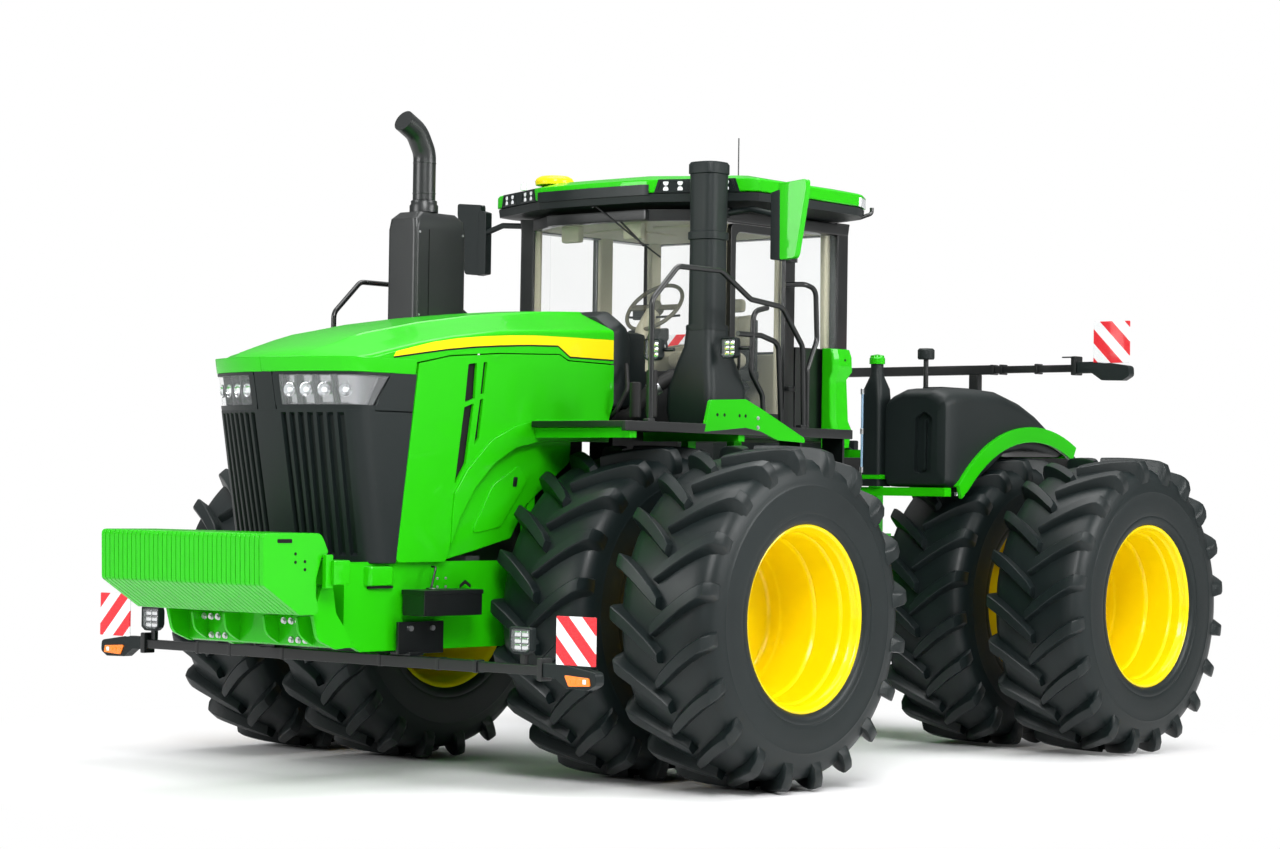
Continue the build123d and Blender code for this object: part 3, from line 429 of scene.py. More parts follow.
# The near-black (0.004) matte plastic in this set is painted shade, put in holes, slots, seams and gaps where
# shadow falls.
FINISH_MAKERS = {
    "body_paint": lambda name, tones: gloss_paint(name, tones.body), "wheel_paint": lambda name,
    tones: gloss_paint(name, tones.wheel), "tyre_rubber": lambda name, tones: tyre_rubber(name, tones.tyre),
    "black_plastic": lambda name, tones: moulded_plastic(name, tones.plastic), "fine_plastic": lambda name,
    tones: moulded_plastic(name, tones.plastic, 1500.0, 0.3, 0.42, 0.0002), "black_steel": lambda name,
    tones: satin_steel(name, tones.steel), "stack_paint": lambda name,
    tones: satin_steel(name, shade(tones.steel, 1.6), 0.34, 0.5), "dark_gap": lambda name,
    tones: moulded_plastic(name, (0.004, 0.004, 0.004), 500.0, 0.8, 0.9), "hose_rubber": lambda name,
    tones: moulded_plastic(name, (0.012, 0.012, 0.012), 600.0, 0.5, 0.65), "cab_trim": lambda name,
    tones: moulded_plastic(name, tones.trim, 1100.0, 0.55, 0.7), "cab_floor": lambda name,
    tones: moulded_plastic(name, (0.03, 0.03, 0.028), 400.0, 0.7, 0.85), "seat_cloth": lambda name,
    tones: woven_cloth(name, shade(tones.trim, 1.05)), "seat_base": lambda name,
    tones: moulded_plastic(name, (0.02, 0.02, 0.02), 700.0, 0.5, 0.6), "wheel_grip": lambda name,
    tones: moulded_plastic(name, shade(tones.trim, 0.3), 900.0, 0.4, 0.5), "zinc": lambda name,
    tones: bare_metal(name, (0.72, 0.73, 0.75), 0.32), "chrome": lambda name,
    tones: bare_metal(name, (0.85, 0.86, 0.88), 0.07, 30.0), "dark_iron": lambda name,
    tones: cast_block(name, (0.03, 0.033, 0.034)), "window": lambda name,
    tones: clear_pane(name, (0.62, 0.72, 0.7), 0.035), "lens": lambda name,
    tones: clear_pane(name, (0.9, 0.93, 0.95), 0.07, 0.01), "lamp_bowl": lambda name,
    tones: bare_metal(name, (0.86, 0.87, 0.88), 0.06, 60.0), "lamp_back": lambda name,
    tones: bare_metal(name, (0.42, 0.43, 0.44), 0.16, 60.0), "lamp_white": lambda name,
    tones: lens_plastic(name, (0.9, 0.92, 0.94), 0.15), "indicator": lambda name,
    tones: lens_plastic(name, tones.indicator, 0.25), "tail_red": lambda name,
    tones: lens_plastic(name, tones.warning, 0.1), "sight_tube": lambda name,
    tones: lens_plastic(name, (0.35, 0.55, 0.75)), "mirror": lambda name,
    tones: bare_metal(name, (0.9, 0.92, 0.93), 0.02, 4.0), "display": lambda name,
    tones: lens_plastic(name, (0.015, 0.03, 0.035)), "marker_left": lambda name,
    tones: marker_sheet(name, tones.warning, 1.0), "marker_right": lambda name,
    tones: marker_sheet(name, tones.warning, -1.0)
}


# Shapes -----------------------------------------------------------------------------------------


def soften(shape, width, segments=2, angle=30.0):
    """Rounds the edges sharper than an angle."""
    if width <= 0.0:
        return shape
    limit = math.radians(angle)
    edges = [
        edge
        for edge in shape.edges
        if len(edge.link_faces) == 2 and edge.calc_face_angle(0.0) > limit
    ]
    if edges:
        bmesh.ops.bevel(
            shape, geom=edges, offset=width, segments=segments, profile=0.6, affect="EDGES",
            clamp_overlap=True
        )
    return shape


def spanned(first, second):
    """Two numbers in rising order."""
    return (first, second) if first < second else (second, first)


def block(x, y, z, soft=0.004, segments=2):
    """A box by its spans, with softened edges."""
    shape = bmesh.new()
    made = bmesh.ops.create_cube(shape, size=1.0)
    spans = [spanned(*span) for span in (x, y, z)]
    for vertex in made["verts"]:
        vertex.co = Vector(span[0] if vertex.co[axis] < 0 else span[1] for axis, span in enumerate(spans))
    return soften(shape, soft, segments)


def hinge_block(x, y, z, *shape):
    """A block whose Y is given from the hinge."""
    return block(x, (HINGE + y[0], HINGE + y[1]), z, *shape)


def moved(shape, step):
    """A shape shifted."""
    bmesh.ops.translate(shape, vec=Vector(step), verts=shape.verts)
    return shape


def plate(outline, axis, low, high, soft=0.003, segments=2, angle=30.0):
    """A flat outline given thickness along X, Y or Z. Outlines are (Y, Z), (X, Z) or (X, Y)."""
    shape = bmesh.new()
    low, high = spanned(low, high)

    def corner(first, second, depth):
        if axis == "X":
            return (depth, first, second)
        if axis == "Y":
            return (first, depth, second)
        return (first, second, depth)

    bottom = [shape.verts.new(corner(a, b, low)) for a, b in outline]
    top = [shape.verts.new(corner(a, b, high)) for a, b in outline]
    shape.faces.new(bottom)
    shape.faces.new(list(reversed(top)))
    count = len(outline)
    for index in range(count):
        after = (index + 1) % count
        shape.faces.new((bottom[after], bottom[index], top[index], top[after]))
    bmesh.ops.recalc_face_normals(shape, faces=shape.faces)
    return soften(shape, soft, segments, angle)


def rounded(points, radius, steps=5, closed=True):
    """An outline with its corners rounded; a third number on a point is its own radius."""
    result = []
    count = len(points)
    for index, point in enumerate(points):
        here = Vector(point[:2])
        bend = point[2] if len(point) > 2 else radius
        if not closed and index in (0, count - 1):
            result.append(tuple(here))
            continue
        before = Vector(points[index - 1][:2]) - here
        after = Vector(points[(index + 1) % count][:2]) - here
        opening = before.angle(after)
        if bend <= 0.0 or opening > math.radians(176):
            result.append(tuple(here))
            continue
        reach = bend / math.tan(opening / 2)
        reach = min(reach, before.length * 0.49, after.length * 0.49)
        start = here + before.normalized() * reach
        end = here + after.normalized() * reach
        for step in range(steps + 1):
            share = step / steps
            spot = start * (1 - share) ** 2 + here * 2 * share * (1 - share) + end * share**2
            result.append(tuple(spot))
    return result


def facing(direction):
    """Two directions square to a third."""
    direction = Vector(direction).normalized()
    helper = Vector((0, 0, 1)) if abs(direction.z) < 0.9 else Vector((0, 1, 0))
    across = direction.cross(helper).normalized()
    return across, direction.cross(across).normalized()


def skin(rings, capped=True, around=True):
    """A surface through rings of the same number of points, closed at its ends."""
    shape = bmesh.new()
    rows = [[shape.verts.new(point) for point in ring] for ring in rings]
    count = len(rows[0])
    for lower, upper in zip(rows, rows[1:]):
        for index in range(count if around else count - 1):
            after = (index + 1) % count
            shape.faces.new((lower[index], lower[after], upper[after], upper[index]))
    if capped:
        shape.faces.new(list(reversed(rows[0])))
        shape.faces.new(rows[-1])
    bmesh.ops.recalc_face_normals(shape, faces=shape.faces)
    return shape


def turned(profile, centre, axis="X", sides=64, closed=False):
    """A profile of (along, radius) points turned about an axis. Ends on the axis are closed."""
    shape = bmesh.new()
    centre = Vector(centre)
    directions = {"X": (0, 1, 2), "Y": (1, 2, 0), "Z": (2, 0, 1)}[axis]
    rows = []
    for along, radius in profile:
        spots = []
        for index in range(1 if radius < 1e-6 else sides):
            angle = FULL_TURN * index / sides
            point = Vector((0, 0, 0))
            point[directions[0]] = along
            point[directions[1]] = radius * math.cos(angle)
            point[directions[2]] = radius * math.sin(angle)
            spots.append(shape.verts.new(centre + point))
        rows.append(spots)
    pairs = list(zip(rows, rows[1:]))
    if closed:
        pairs.append((rows[-1], rows[0]))
    for lower, upper in pairs:
        for index in range(sides):
            after = (index + 1) % sides
            if len(lower) == 1 and len(upper) == 1:
                continue
            if len(lower) == 1:
                shape.faces.new((lower[0], upper[after], upper[index]))
            elif len(upper) == 1:
                shape.faces.new((lower[index], lower[after], upper[0]))
            else:
                shape.faces.new((lower[index], lower[after], upper[after], upper[index]))
    if not closed:
        for row in (rows[0], rows[-1]):
            if len(row) > 1:
                shape.faces.new(row)
    bmesh.ops.recalc_face_normals(shape, faces=shape.faces)
    return shape


def curved_path(points, radius, steps=6):
    """A path with its corners rounded."""
    path = [Vector(points[0])]
    for index in range(1, len(points) - 1):
        here = Vector(points[index])
        before = Vector(points[index - 1]) - here
        after = Vector(points[index + 1]) - here
        opening = before.angle(after)
        if opening > math.radians(177) or radius <= 0:
            path.append(here)
            continue
        reach = min(radius / math.tan(opening / 2), before.length * 0.48, after.length * 0.48)
        start = here + before.normalized() * reach
        end = here + after.normalized() * reach
        for step in range(steps + 1):
            share = step / steps
            path.append(start * (1 - share) ** 2 + here * 2 * share * (1 - share) + end * share**2)
    path.append(Vector(points[-1]))
    return path


def pipe(points, radius, bend=0.05, sides=14, steps=6, section=None):
    """A tube along a path. section gives (across, up) points for another shape of bar."""
    path = curved_path(points, bend, steps)
    if section is None:
        section = [
            (radius * math.cos(FULL_TURN * index / sides), radius * math.sin(FULL_TURN * index / sides))
            for index in range(sides)
        ]
    across, up = facing(path[1] - path[0])
    rings = []
    for index, point in enumerate(path):
        ahead = path[min(index + 1, len(path) - 1)] - point
        behind = point - path[max(index - 1, 0)]
        if ahead.length < 1e-9:
            direction = behind.normalized()
        elif behind.length < 1e-9:
            direction = ahead.normalized()
        else:
            direction = (ahead.normalized() + behind.normalized()).normalized()
        across = (across - direction * across.dot(direction)).normalized()
        up = direction.cross(across).normalized()
        stretch = 1.0
        if ahead.length > 1e-9 and behind.length > 1e-9:
            stretch = 1.0 / max(0.5, direction.dot(ahead.normalized()))
        rings.append([point + across * a * stretch + up * b for a, b in section])
    return skin(rings)


def rod(start, end, radius, sides=20, soft=0.0):
    """A straight round bar."""
    start, end = Vector(start), Vector(end)
    across, up = facing(end - start)
    rings = []
    for point in (start, end):
        rings.append(
            [
                point
                + across * radius * math.cos(FULL_TURN * index / sides)
                + up * radius * math.sin(FULL_TURN * index / sides)
                for index in range(sides)
            ]
        )
    return soften(skin(rings), soft, 2, 60.0)


def mirrored(shape):
    """The same shape on the tractor's other side."""
    bmesh.ops.scale(shape, vec=(-1, 1, 1), verts=shape.verts)
    bmesh.ops.reverse_faces(shape, faces=shape.faces)
    return shape


class Piece:
    """Collects shapes, each with its finish, into one object."""

    def __init__(self, name):
        self.name = name
        self.mesh = bmesh.new()
        self.finishes = []

    def add(self, shape, finish, smooth=True):
        """Takes a shape into the piece."""
        if finish not in self.finishes:
            self.finishes.append(finish)
        index = self.finishes.index(finish)
        for face in shape.faces:
            face.material_index = index
            face.smooth = smooth
        spare = bpy.data.meshes.new("spare")
        shape.to_mesh(spare)
        shape.free()
        self.mesh.from_mesh(spare)
        bpy.data.meshes.remove(spare)

    def take(self, mesh):
        """Takes a finished mesh with its own materials."""
        names = [material.name if material else None for material in mesh.materials]
        spare = bmesh.new()
        spare.from_mesh(mesh)
        for name in names:
            if name and name not in self.finishes:
                self.finishes.append(name)
        for face in spare.faces:
            face.material_index = self.finishes.index(names[face.material_index])
        spare.to_mesh(mesh)
        spare.free()
        self.mesh.from_mesh(mesh)
        bpy.data.meshes.remove(mesh)

    def finish(self, body, slot, replaces=(), angle=32.0):
        """Makes the object, gives it its body and hides the imported parts that it replaces."""
        mesh = bpy.data.meshes.new(self.name)
        self.mesh.to_mesh(mesh)
        self.mesh.free()
        for name in self.finishes:
            mesh.materials.append(finish_for(name))
        mesh.set_sharp_from_angle(angle=math.radians(angle))
        made = bpy.data.objects.new(self.name, mesh)
        bpy.context.scene.collection.objects.link(made)
        even = made.modifiers.new("Even shading", "WEIGHTED_NORMAL")
        even.keep_sharp = True
        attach(made, body)
        if replaces:
            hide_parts(*replaces)
        return made


# Repeats through Geometry Nodes -----------------------------------------------------------------


class NodeGroup:
    """A geometry node tree with named inputs, used once and then made plain."""

    def __init__(self, name):
        self.tree = bpy.data.node_groups.new(name, "GeometryNodeTree")
        self.tree.interface.new_socket("Geometry", in_out="INPUT", socket_type="NodeSocketGeometry")
        self.tree.interface.new_socket("Geometry", in_out="OUTPUT", socket_type="NodeSocketGeometry")
        self.start = self.tree.nodes.new("NodeGroupInput")
        self.end = self.tree.nodes.new("NodeGroupOutput")
        self.values = {}

    def value(self, name, kind, default):
        """Adds a named input."""
        socket = self.tree.interface.new_socket(name, in_out="INPUT", socket_type=kind)
        self.values[socket.identifier] = default
        return self.start.outputs[name]

    def node(self, kind, settings=None, inputs=None):
        """Adds a node; links or values go to its inputs."""
        made = self.tree.nodes.new(kind)
        for name, value in (settings or {}).items():
            setattr(made, name, value)
        for name, value in (inputs or {}).items():
            if isinstance(value, bpy.types.NodeSocket):
                self.tree.links.new(value, made.inputs[name])
            else:
                made.inputs[name].default_value = value
        return made

    def close(self, geometry, finish):
        """Ends the tree in Realize Instances and Set Material."""
        real = self.node("GeometryNodeRealizeInstances", inputs={"Geometry": geometry})
        painted = self.node(
            "GeometryNodeSetMaterial", inputs={"Geometry": real.outputs[0], "Material": finish_for(finish)}
        )
        self.tree.links.new(painted.outputs[0], self.end.inputs[0])

    def plain_mesh(self, source):
        """Runs the tree on a mesh and gives the result as a plain mesh."""
        carrier = bpy.data.objects.new("carrier", source)
        bpy.context.scene.collection.objects.link(carrier)
        modifier = carrier.modifiers.new("Repeat", "NODES")
        modifier.node_group = self.tree
        for identifier, value in self.values.items():
            modifier[identifier] = value
        bpy.context.view_layer.update()
        result = bpy.data.meshes.new_from_object(
            carrier.evaluated_get(bpy.context.evaluated_depsgraph_get())
        )
        carrier.modifiers.remove(modifier)
        bpy.data.objects.remove(carrier)
        bpy.data.meshes.remove(source)
        bpy.data.node_groups.remove(self.tree)
        return result


def points_mesh(places):
    """Loose points for a tree to put copies on."""
    mesh = bpy.data.meshes.new("points")
    mesh.from_pydata([tuple(place) for place in places], [], [])
    return mesh


def bolt_heads(places, direction, radius=None, finish="zinc"):
    """Hexagon bolt heads with washers, standing on a face."""
    radius = radius or bpy.context.scene.tractor_sizes.bolt_radius
    group = NodeGroup("Bolt heads")
    size = group.value("Radius", "NodeSocketFloat", radius)
    lean = Vector((0, 0, 1)).rotation_difference(Vector(direction)).to_euler()
    turn = group.value("Turn", "NodeSocketVector", tuple(lean))
    head = group.node("GeometryNodeMeshCylinder", inputs={"Vertices": 6, "Radius": 1.0, "Depth": 1.1})
    washer = group.node("GeometryNodeMeshCylinder", inputs={"Vertices": 16, "Radius": 1.45, "Depth": 0.5})
    raised = group.node(
        "GeometryNodeTransform", inputs={"Geometry": head.outputs[0], "Translation": (0, 0, 0.5)}
    )
    joined = group.node("GeometryNodeJoinGeometry")
    group.tree.links.new(raised.outputs[0], joined.inputs[0])
    group.tree.links.new(washer.outputs[0], joined.inputs[0])
    copies = group.node(
        "GeometryNodeInstanceOnPoints",
        inputs={
            "Points": group.start.outputs[0], "Instance": joined.outputs[0], "Rotation": turn, "Scale": size
        }
    )
    group.close(copies.outputs[0], finish)
    return group.plain_mesh(points_mesh(places))


def repeated(shape, start, step, count, finish):
    """Copies of a shape along a straight row."""
    source = bpy.data.meshes.new("repeat")
    for face in shape.faces:
        face.smooth = True
    shape.to_mesh(source)
    shape.free()
    group = NodeGroup("Row")
    number = group.value("Count", "NodeSocketInt", count)
    first = group.value("Start", "NodeSocketVector", tuple(start))
    offset = group.value("Step", "NodeSocketVector", tuple(step))
    line = group.node(
        "GeometryNodeMeshLine", {"mode": "OFFSET"},
        {"Count": number, "Start Location": first, "Offset": offset}
    )
    copies = group.node(
        "GeometryNodeInstanceOnPoints",
        inputs={"Points": line.outputs[0], "Instance": group.start.outputs[0]}
    )
    group.close(copies.outputs[0], finish)
    return group.plain_mesh(source)


# Wheels -----------------------------------------------------------------------------------------

CARCASS = (
    # share of half width, radius
    (0.990, 0.820),
    (0.962, 0.872),
    (0.905, 0.918),
    (0.800, 0.948),
    (0.600, 0.963),
    (0.300, 0.972),
    (0.000, 0.975),
)


def tyre_case(centre, half):
    """The tyre's case with its bead, sidewall rings and rounded tread."""
    outer = [
        (half * 0.900, 0.562), (half * 0.944, 0.570), (half * 0.972, 0.588), (half * 0.984, 0.612),
        (half * 0.976, 0.621), (half * 0.976, 0.627), (half * 0.986, 0.631), (half * 0.992, 0.655),
        (half * 0.998, 0.700), (half * 1.000, 0.745), (half * 0.997, 0.785), (half * 1.004, 0.790),
        (half * 1.002, 0.797), (half * 0.990, 0.803)
    ]
    outer += [(half * share, radius) for share, radius in CARCASS]
    inner = [(-along, radius) for along, radius in reversed(outer[:-1])]
    liner = [
        (-half * 0.86, 0.545), (-half * 0.88, 0.62), (-half * 0.9, 0.8), (-half * 0.6, 0.92),
        (half * 0.6, 0.92), (half * 0.9, 0.8), (half * 0.88, 0.62), (half * 0.86, 0.545)
    ]
    return turned(outer + inner + liner, centre, "X", 96, closed=True)


LUG = (
    # share of half width, how far along the pitch, half thickness, top, foot
    (-0.06, -0.17, 0.030, 1.029, 0.960),
    (0.06, -0.05, 0.041, 1.030, 0.960),
    (0.22, 0.09, 0.043, 1.030, 0.958),
    (0.40, 0.24, 0.044, 1.029, 0.955),
    (0.58, 0.38, 0.045, 1.028, 0.948),
    (0.74, 0.49, 0.045, 1.026, 0.938),
    (0.87, 0.57, 0.044, 1.022, 0.915),
    (0.955, 0.615, 0.042, 1.010, 0.880),
    (1.012, 0.645, 0.038, 0.965, 0.850),
    (1.020, 0.665, 0.032, 0.900, 0.835),
)


def tyre_lug(half, radius, count):
    """One lug from the middle of the tread, over the shoulder and down the sidewall."""
    pitch = FULL_TURN / count
    rings = []
    for share, run, thick, top, foot in LUG:
        top = min(radius, top)
        turn = run * pitch
        wide = (thick + 0.014) / foot
        crown = thick / top
        along = half * share
        sink = half * min(share, 0.94)
        rings.append(
            [
                (sink, foot, turn - wide), (along, top - 0.009, turn - crown),
                (along, top, turn - crown + 0.009), (along, top + 0.001 * (top < radius), turn),
                (along, top, turn + crown - 0.009), (along, top - 0.009, turn + crown),
                (sink, foot, turn + wide)
            ]
        )
    return rings


def add_tread(piece, centre, half, radius, count):
    """All the lugs of one tyre."""
    rings = tyre_lug(half, radius, count)
    offset = math.pi / count
    for side in SIDES:
        for number in range(count):
            start = FULL_TURN * number / count + (offset if side < 0 else 0.0)
            placed = []
            for ring in rings:
                spots = []
                for along, reach, turn in ring:
                    angle = start + turn
                    spots.append(
                        (
                            centre[0] + side * along, centre[1] + reach * math.sin(angle),
                            centre[2] + reach * math.cos(angle)
                        )
                    )
                placed.append(spots)
            piece.add(skin(placed), "tyre_rubber")


def add_tyre(piece, centre, sizes):
    """One tyre: its case, with the sidewall rings, and its lugs."""
    half = sizes.tyre_width / 2
    piece.add(tyre_case(centre, half), "tyre_rubber")
    add_tread(piece, centre, half, sizes.tyre_radius, sizes.lug_count)


RIM_DISH = (
    # distance in from the outer flange's face, radius
    (0.000, 0.562),
    (-0.003, 0.553),
    (0.004, 0.543),
    (0.016, 0.537),
    (0.036, 0.532),
    (0.045, 0.522),
    (0.058, 0.518),
    (0.108, 0.514),
    (0.119, 0.503),
    (0.134, 0.499),
    (0.294, 0.496),
    (0.308, 0.483),
    (0.324, 0.479),
    (0.530, 0.474),
    (0.546, 0.460),
    (0.562, 0.456),
    (0.600, 0.453),
)
RIM_BACK = (
    # distance out from the middle of the rim, radius
    (-0.05, 0.482),
    (-0.20, 0.492),
    (-0.24, 0.515),
    (-0.298, 0.524),
)
RIM_BED = (
    (-0.318, 0.545), (-0.322, 0.562), (-0.312, 0.564), (-0.30, 0.548), (-0.22, 0.53), (0.0, 0.505),
    (0.22, 0.53), (0.30, 0.548), (0.312, 0.564)
)
FLANGE = 0.322
RIM_STEEL = 0.014
INNER_DISC = 0.142
OUTER_DISC = 0.632


def add_rim(piece, centre, outward, depth):
    """A stepped rim with its disc at a depth from the outer flange."""
    disc = FLANGE - depth
    face = [(FLANGE - along, radius) for along, radius in RIM_DISH if along < depth - 0.03]
    last = face[-1][1]
    face += [(disc + 0.012, last - 0.008), (disc, last - 0.03), (disc + 0.006, 0.30), (disc + 0.02, 0.24)]
    face += [(disc + 0.02, 0.12)]
    behind = disc - RIM_STEEL
    back = [(behind, 0.12), (behind, last - 0.04)]
    back += [point for point in RIM_BACK if point[0] < behind - 0.03]
    profile = [(outward * along, radius) for along, radius in face + back + list(RIM_BED)]
    piece.add(turned(profile, centre, "X", 96, closed=True), "wheel_paint")
    return outward * (disc + 0.02)


def add_hub(piece, centre, outward, start, end):
    """The planetary hub between the two rims, ending in its cover."""
    hub = [
        (start, 0.0), (start, 0.235), (start + outward * 0.02, 0.245), (start + outward * 0.05, 0.245),
        (start + outward * 0.06, 0.225), (end - outward * 0.10, 0.215), (end - outward * 0.07, 0.150),
        (end - outward * 0.01, 0.140), (end, 0.125), (end, 0.0)
    ]
    piece.add(turned(hub, centre, "X", 64), "wheel_paint")


def wheel_bolts(piece, centre, outward, along, ring, count, radius):
    """A ring of wheel nuts on a disc."""
    places = []
    for index in range(count):
        angle = FULL_TURN * index / count
        places.append(
            (
                centre[0] + along + outward * 0.004, centre[1] + ring * math.cos(angle),
                centre[2] + ring * math.sin(angle)
            )
        )
    piece.take(bolt_heads(places, (outward, 0, 0), radius, "wheel_paint"))


class TRACTOR_OT_tyres(bpy.types.Operator):
    """Eight tyres with chevron lugs, in four twin pairs"""

    bl_idname = "tractor.tyres"
    bl_label = "Tyres"

    def execute(self, context):
        sizes = context.scene.tractor_sizes
        for end, axle in (("front", FRONT_AXLE), ("rear", REAR_AXLE)):
            for name, side in (("left", 1), ("right", -1)):
                piece = Piece(f"tyre_pair_{end}_{name}")
                for across in (INNER_WHEEL, OUTER_WHEEL):
                    add_tyre(piece, (side * across, axle, AXLE_Z), sizes)
                piece.finish(f"wheels_{end}_{name}", "tyre_rubber", [f"tyres_{end}_{name}"], 40.0)
        return {"FINISHED"}


class TRACTOR_OT_rims(bpy.types.Operator):
    """Stepped rims, hubs and wheel nuts"""

    bl_idname = "tractor.rims"
    bl_label = "Rims"

    def execute(self, context):
        for end, axle in (("front", FRONT_AXLE), ("rear", REAR_AXLE)):
            for name, side in (("left", 1), ("right", -1)):
                piece = Piece(f"rim_pair_{end}_{name}")
                inner = (side * INNER_WHEEL, axle, AXLE_Z)
                outer = (side * OUTER_WHEEL, axle, AXLE_Z)
                add_rim(piece, inner, side, INNER_DISC)
                disc = add_rim(piece, outer, side, OUTER_DISC)
                hub_end = OUTER_WHEEL + FLANGE - OUTER_DISC + 0.045
                add_hub(piece, (0, axle, AXLE_Z), side, side * 1.04, side * hub_end)
                wheel_bolts(piece, outer, side, disc, 0.178, 12, 0.018)
                piece.finish(f"wheels_{end}_{name}", "yellow_paint", [f"rims_{end}_{name}"], 40.0)
        return {"FINISHED"}


# Hood -------------------------------------------------------------------------------------------


def from_hinge_plan(points):
    """A plan outline whose Y is given from the hinge."""
    return [(x, HINGE + y) for x, y in points]


def along_side(points, side=1):
    """A route on one side of the tractor whose Y is given from the hinge."""
    return [(side * x, HINGE + y, z) for x, y, z in points]


def from_hinge(points):
    """Outlines are written from the upright pin; this brings them into the model's frame."""
    return [(HINGE + point[0], *point[1:]) for point in points]


def joined(shapes):
    """Several shapes as one."""
    result = bmesh.new()
    for shape in shapes:
        spare = bpy.data.meshes.new("spare")
        shape.to_mesh(spare)
        shape.free()
        result.from_mesh(spare)
        bpy.data.meshes.remove(spare)
    return result


def cut_out(shape, cutters):
    """A shape with holes cut through it."""
    bodies = []
    for number, part in enumerate((shape, joined(cutters))):
        mesh = bpy.data.meshes.new(f"cut_{number}")
        part.to_mesh(mesh)
        part.free()
        body = bpy.data.objects.new(f"cut_{number}", mesh)
        bpy.context.scene.collection.objects.link(body)
        bodies.append(body)
    modifier = bodies[0].modifiers.new("Holes", "BOOLEAN")
    modifier.operation = "DIFFERENCE"
    modifier.solver = "EXACT"
    modifier.object = bodies[1]
    modifier.use_self = True
    bpy.context.view_layer.update()
    result = bpy.data.meshes.new_from_object(bodies[0].evaluated_get(bpy.context.evaluated_depsgraph_get()))
    cut = bmesh.new()
    cut.from_mesh(result)
    for body in bodies:
        mesh = body.data
        bpy.data.objects.remove(body)
        bpy.data.meshes.remove(mesh)
    bpy.data.meshes.remove(result)
    return cut


def thickened(shape, depth):
    """A sheet given a thickness behind its outer face."""
    bmesh.ops.solidify(shape, geom=shape.faces[:], thickness=depth)
    return shape


CREST = (
    # half width, Y at the side, bow of the front, lower edge, shoulder, crest
    (0.560, -4.050, 0.150, 2.470, 2.486, 2.492),
    (0.590, -4.050, 0.186, 2.480, 2.522, 2.530),
    (0.597, -4.010, 0.180, 2.484, 2.538, 2.566),
    (0.601, -3.930, 0.130, 2.488, 2.552, 2.606),
    (0.602, -3.820, 0.070, 2.492, 2.578, 2.656),
    (0.602, -3.700, 0.030, 2.496, 2.606, 2.698),
    (0.602, -3.548, 0.000, 2.519, 2.640, 2.730),
    (0.602, -3.280, 0.000, 2.571, 2.688, 2.782),
    (0.602, -2.861, 0.000, 2.602, 2.744, 2.842),
    (0.602, -2.560, 0.000, 2.612, 2.764, 2.876),
    (0.602, -2.316, 0.000, 2.621, 2.776, 2.898),
    (0.602, -2.232, 0.000, 2.586, 2.780, 2.905),
    (0.602, -2.000, 0.000, 2.582, 2.790, 2.918),
    (0.602, -1.806, 0.000, 2.580, 2.798, 2.928),
)
SHOULDER_ROUND = 0.028
PLATEAU = 0.31


def hood_section(half, side_y, bow, low, shoulder, crest):
    """One cross-section of the hood's upper sheet, from the left edge over the top."""
    bend = min(SHOULDER_ROUND, (shoulder - low) * 0.9)
    flat = min(PLATEAU, half * 0.53)
    rise = crest - shoulder
    right = [(half, low), (half, shoulder - bend)]
    for turn in (15, 30, 45, 62):
        angle = math.radians(turn)
        right.append((half - bend * (1 - math.cos(angle)), shoulder - bend * (1 - math.sin(angle))))
    right += [
        (flat + (half - flat) * 0.5, shoulder + rise * 0.40), (flat + 0.016, shoulder + rise * 0.80),
        (flat, shoulder + rise * 0.93), (flat * 0.5, crest - rise * 0.02)
    ]
    points = right + [(0.0, crest)] + [(-x, z) for x, z in reversed(right)]
    return [(x, HINGE + side_y - bow * (1 - (x / half) ** 2), z) for x, z in points]


HOOD_LOW = (
    # Y, Z of the side panel's edge, from the grille back and over the wheel arch
    (-3.712, 1.352, 0.03),
    (-3.690, 1.337, 0.02),
    (-3.300, 1.337, 0.03),
    (-3.264, 1.439, 0.06),
    (-3.194, 1.593, 0.2),
    (-3.064, 1.780, 0.3),
    (-2.887, 1.938, 0.3),
    (-2.705, 2.031, 0.3),
    (-2.473, 2.073, 0.3),
    (-2.202, 2.077, 0.1),
    (-1.850, 2.080, 0.02),
    (-1.840, 2.230, 0.04),
    (-1.800, 2.330, 0.04),
    (-1.800, 2.572, 0.004),
)
HOOD_GROOVE = (
    (-2.235, 2.579, 0.01), (-2.316, 2.614, 0.01), (-2.861, 2.595, 0.2), (-3.280, 2.563, 0.2),
    (-3.548, 2.510, 0.006)
)
ARCH_LINE = (
    (-3.256, 1.600), (-3.240, 1.745), (-3.127, 1.893), (-2.921, 2.073), (-2.708, 2.162), (-2.507, 2.206),
    (-2.157, 2.214), (-1.850, 2.208)
)
VENTS = (
    # two slanted slots, each in two parts
    ((-3.131, 2.523), (-3.056, 2.534), (-3.072, 2.318), (-3.158, 2.292)),
    ((-3.162, 2.262), (-3.078, 2.290), (-3.140, 1.925), (-3.236, 1.790)),
    ((-2.999, 2.539), (-2.966, 2.545), (-2.993, 2.350), (-3.024, 2.342)),
    ((-3.026, 2.312), (-2.996, 2.322), (-3.031, 2.081), (-3.074, 2.028)),
)
STRIPE_TOP = (
    (-3.742, 2.572), (-3.600, 2.605), (-3.428, 2.643), (-3.220, 2.674), (-3.015, 2.695), (-2.780, 2.713),
    (-2.555, 2.724), (-2.238, 2.728), (-1.808, 2.730)
)
STRIPE_LOW = (
    (-1.808, 2.606), (-2.219, 2.608), (-2.333, 2.672), (-2.600, 2.664), (-2.862, 2.648), (-3.090, 2.630),
    (-3.310, 2.606), (-3.550, 2.572), (-3.762, 2.541)
)


def side_sheet(outline, inner, outer, side, soft=0.004):
    """A sheet standing on one side of the tractor, from an outline about the hinge."""
    return plate(from_hinge(outline), "X", side * inner, side * outer, soft)


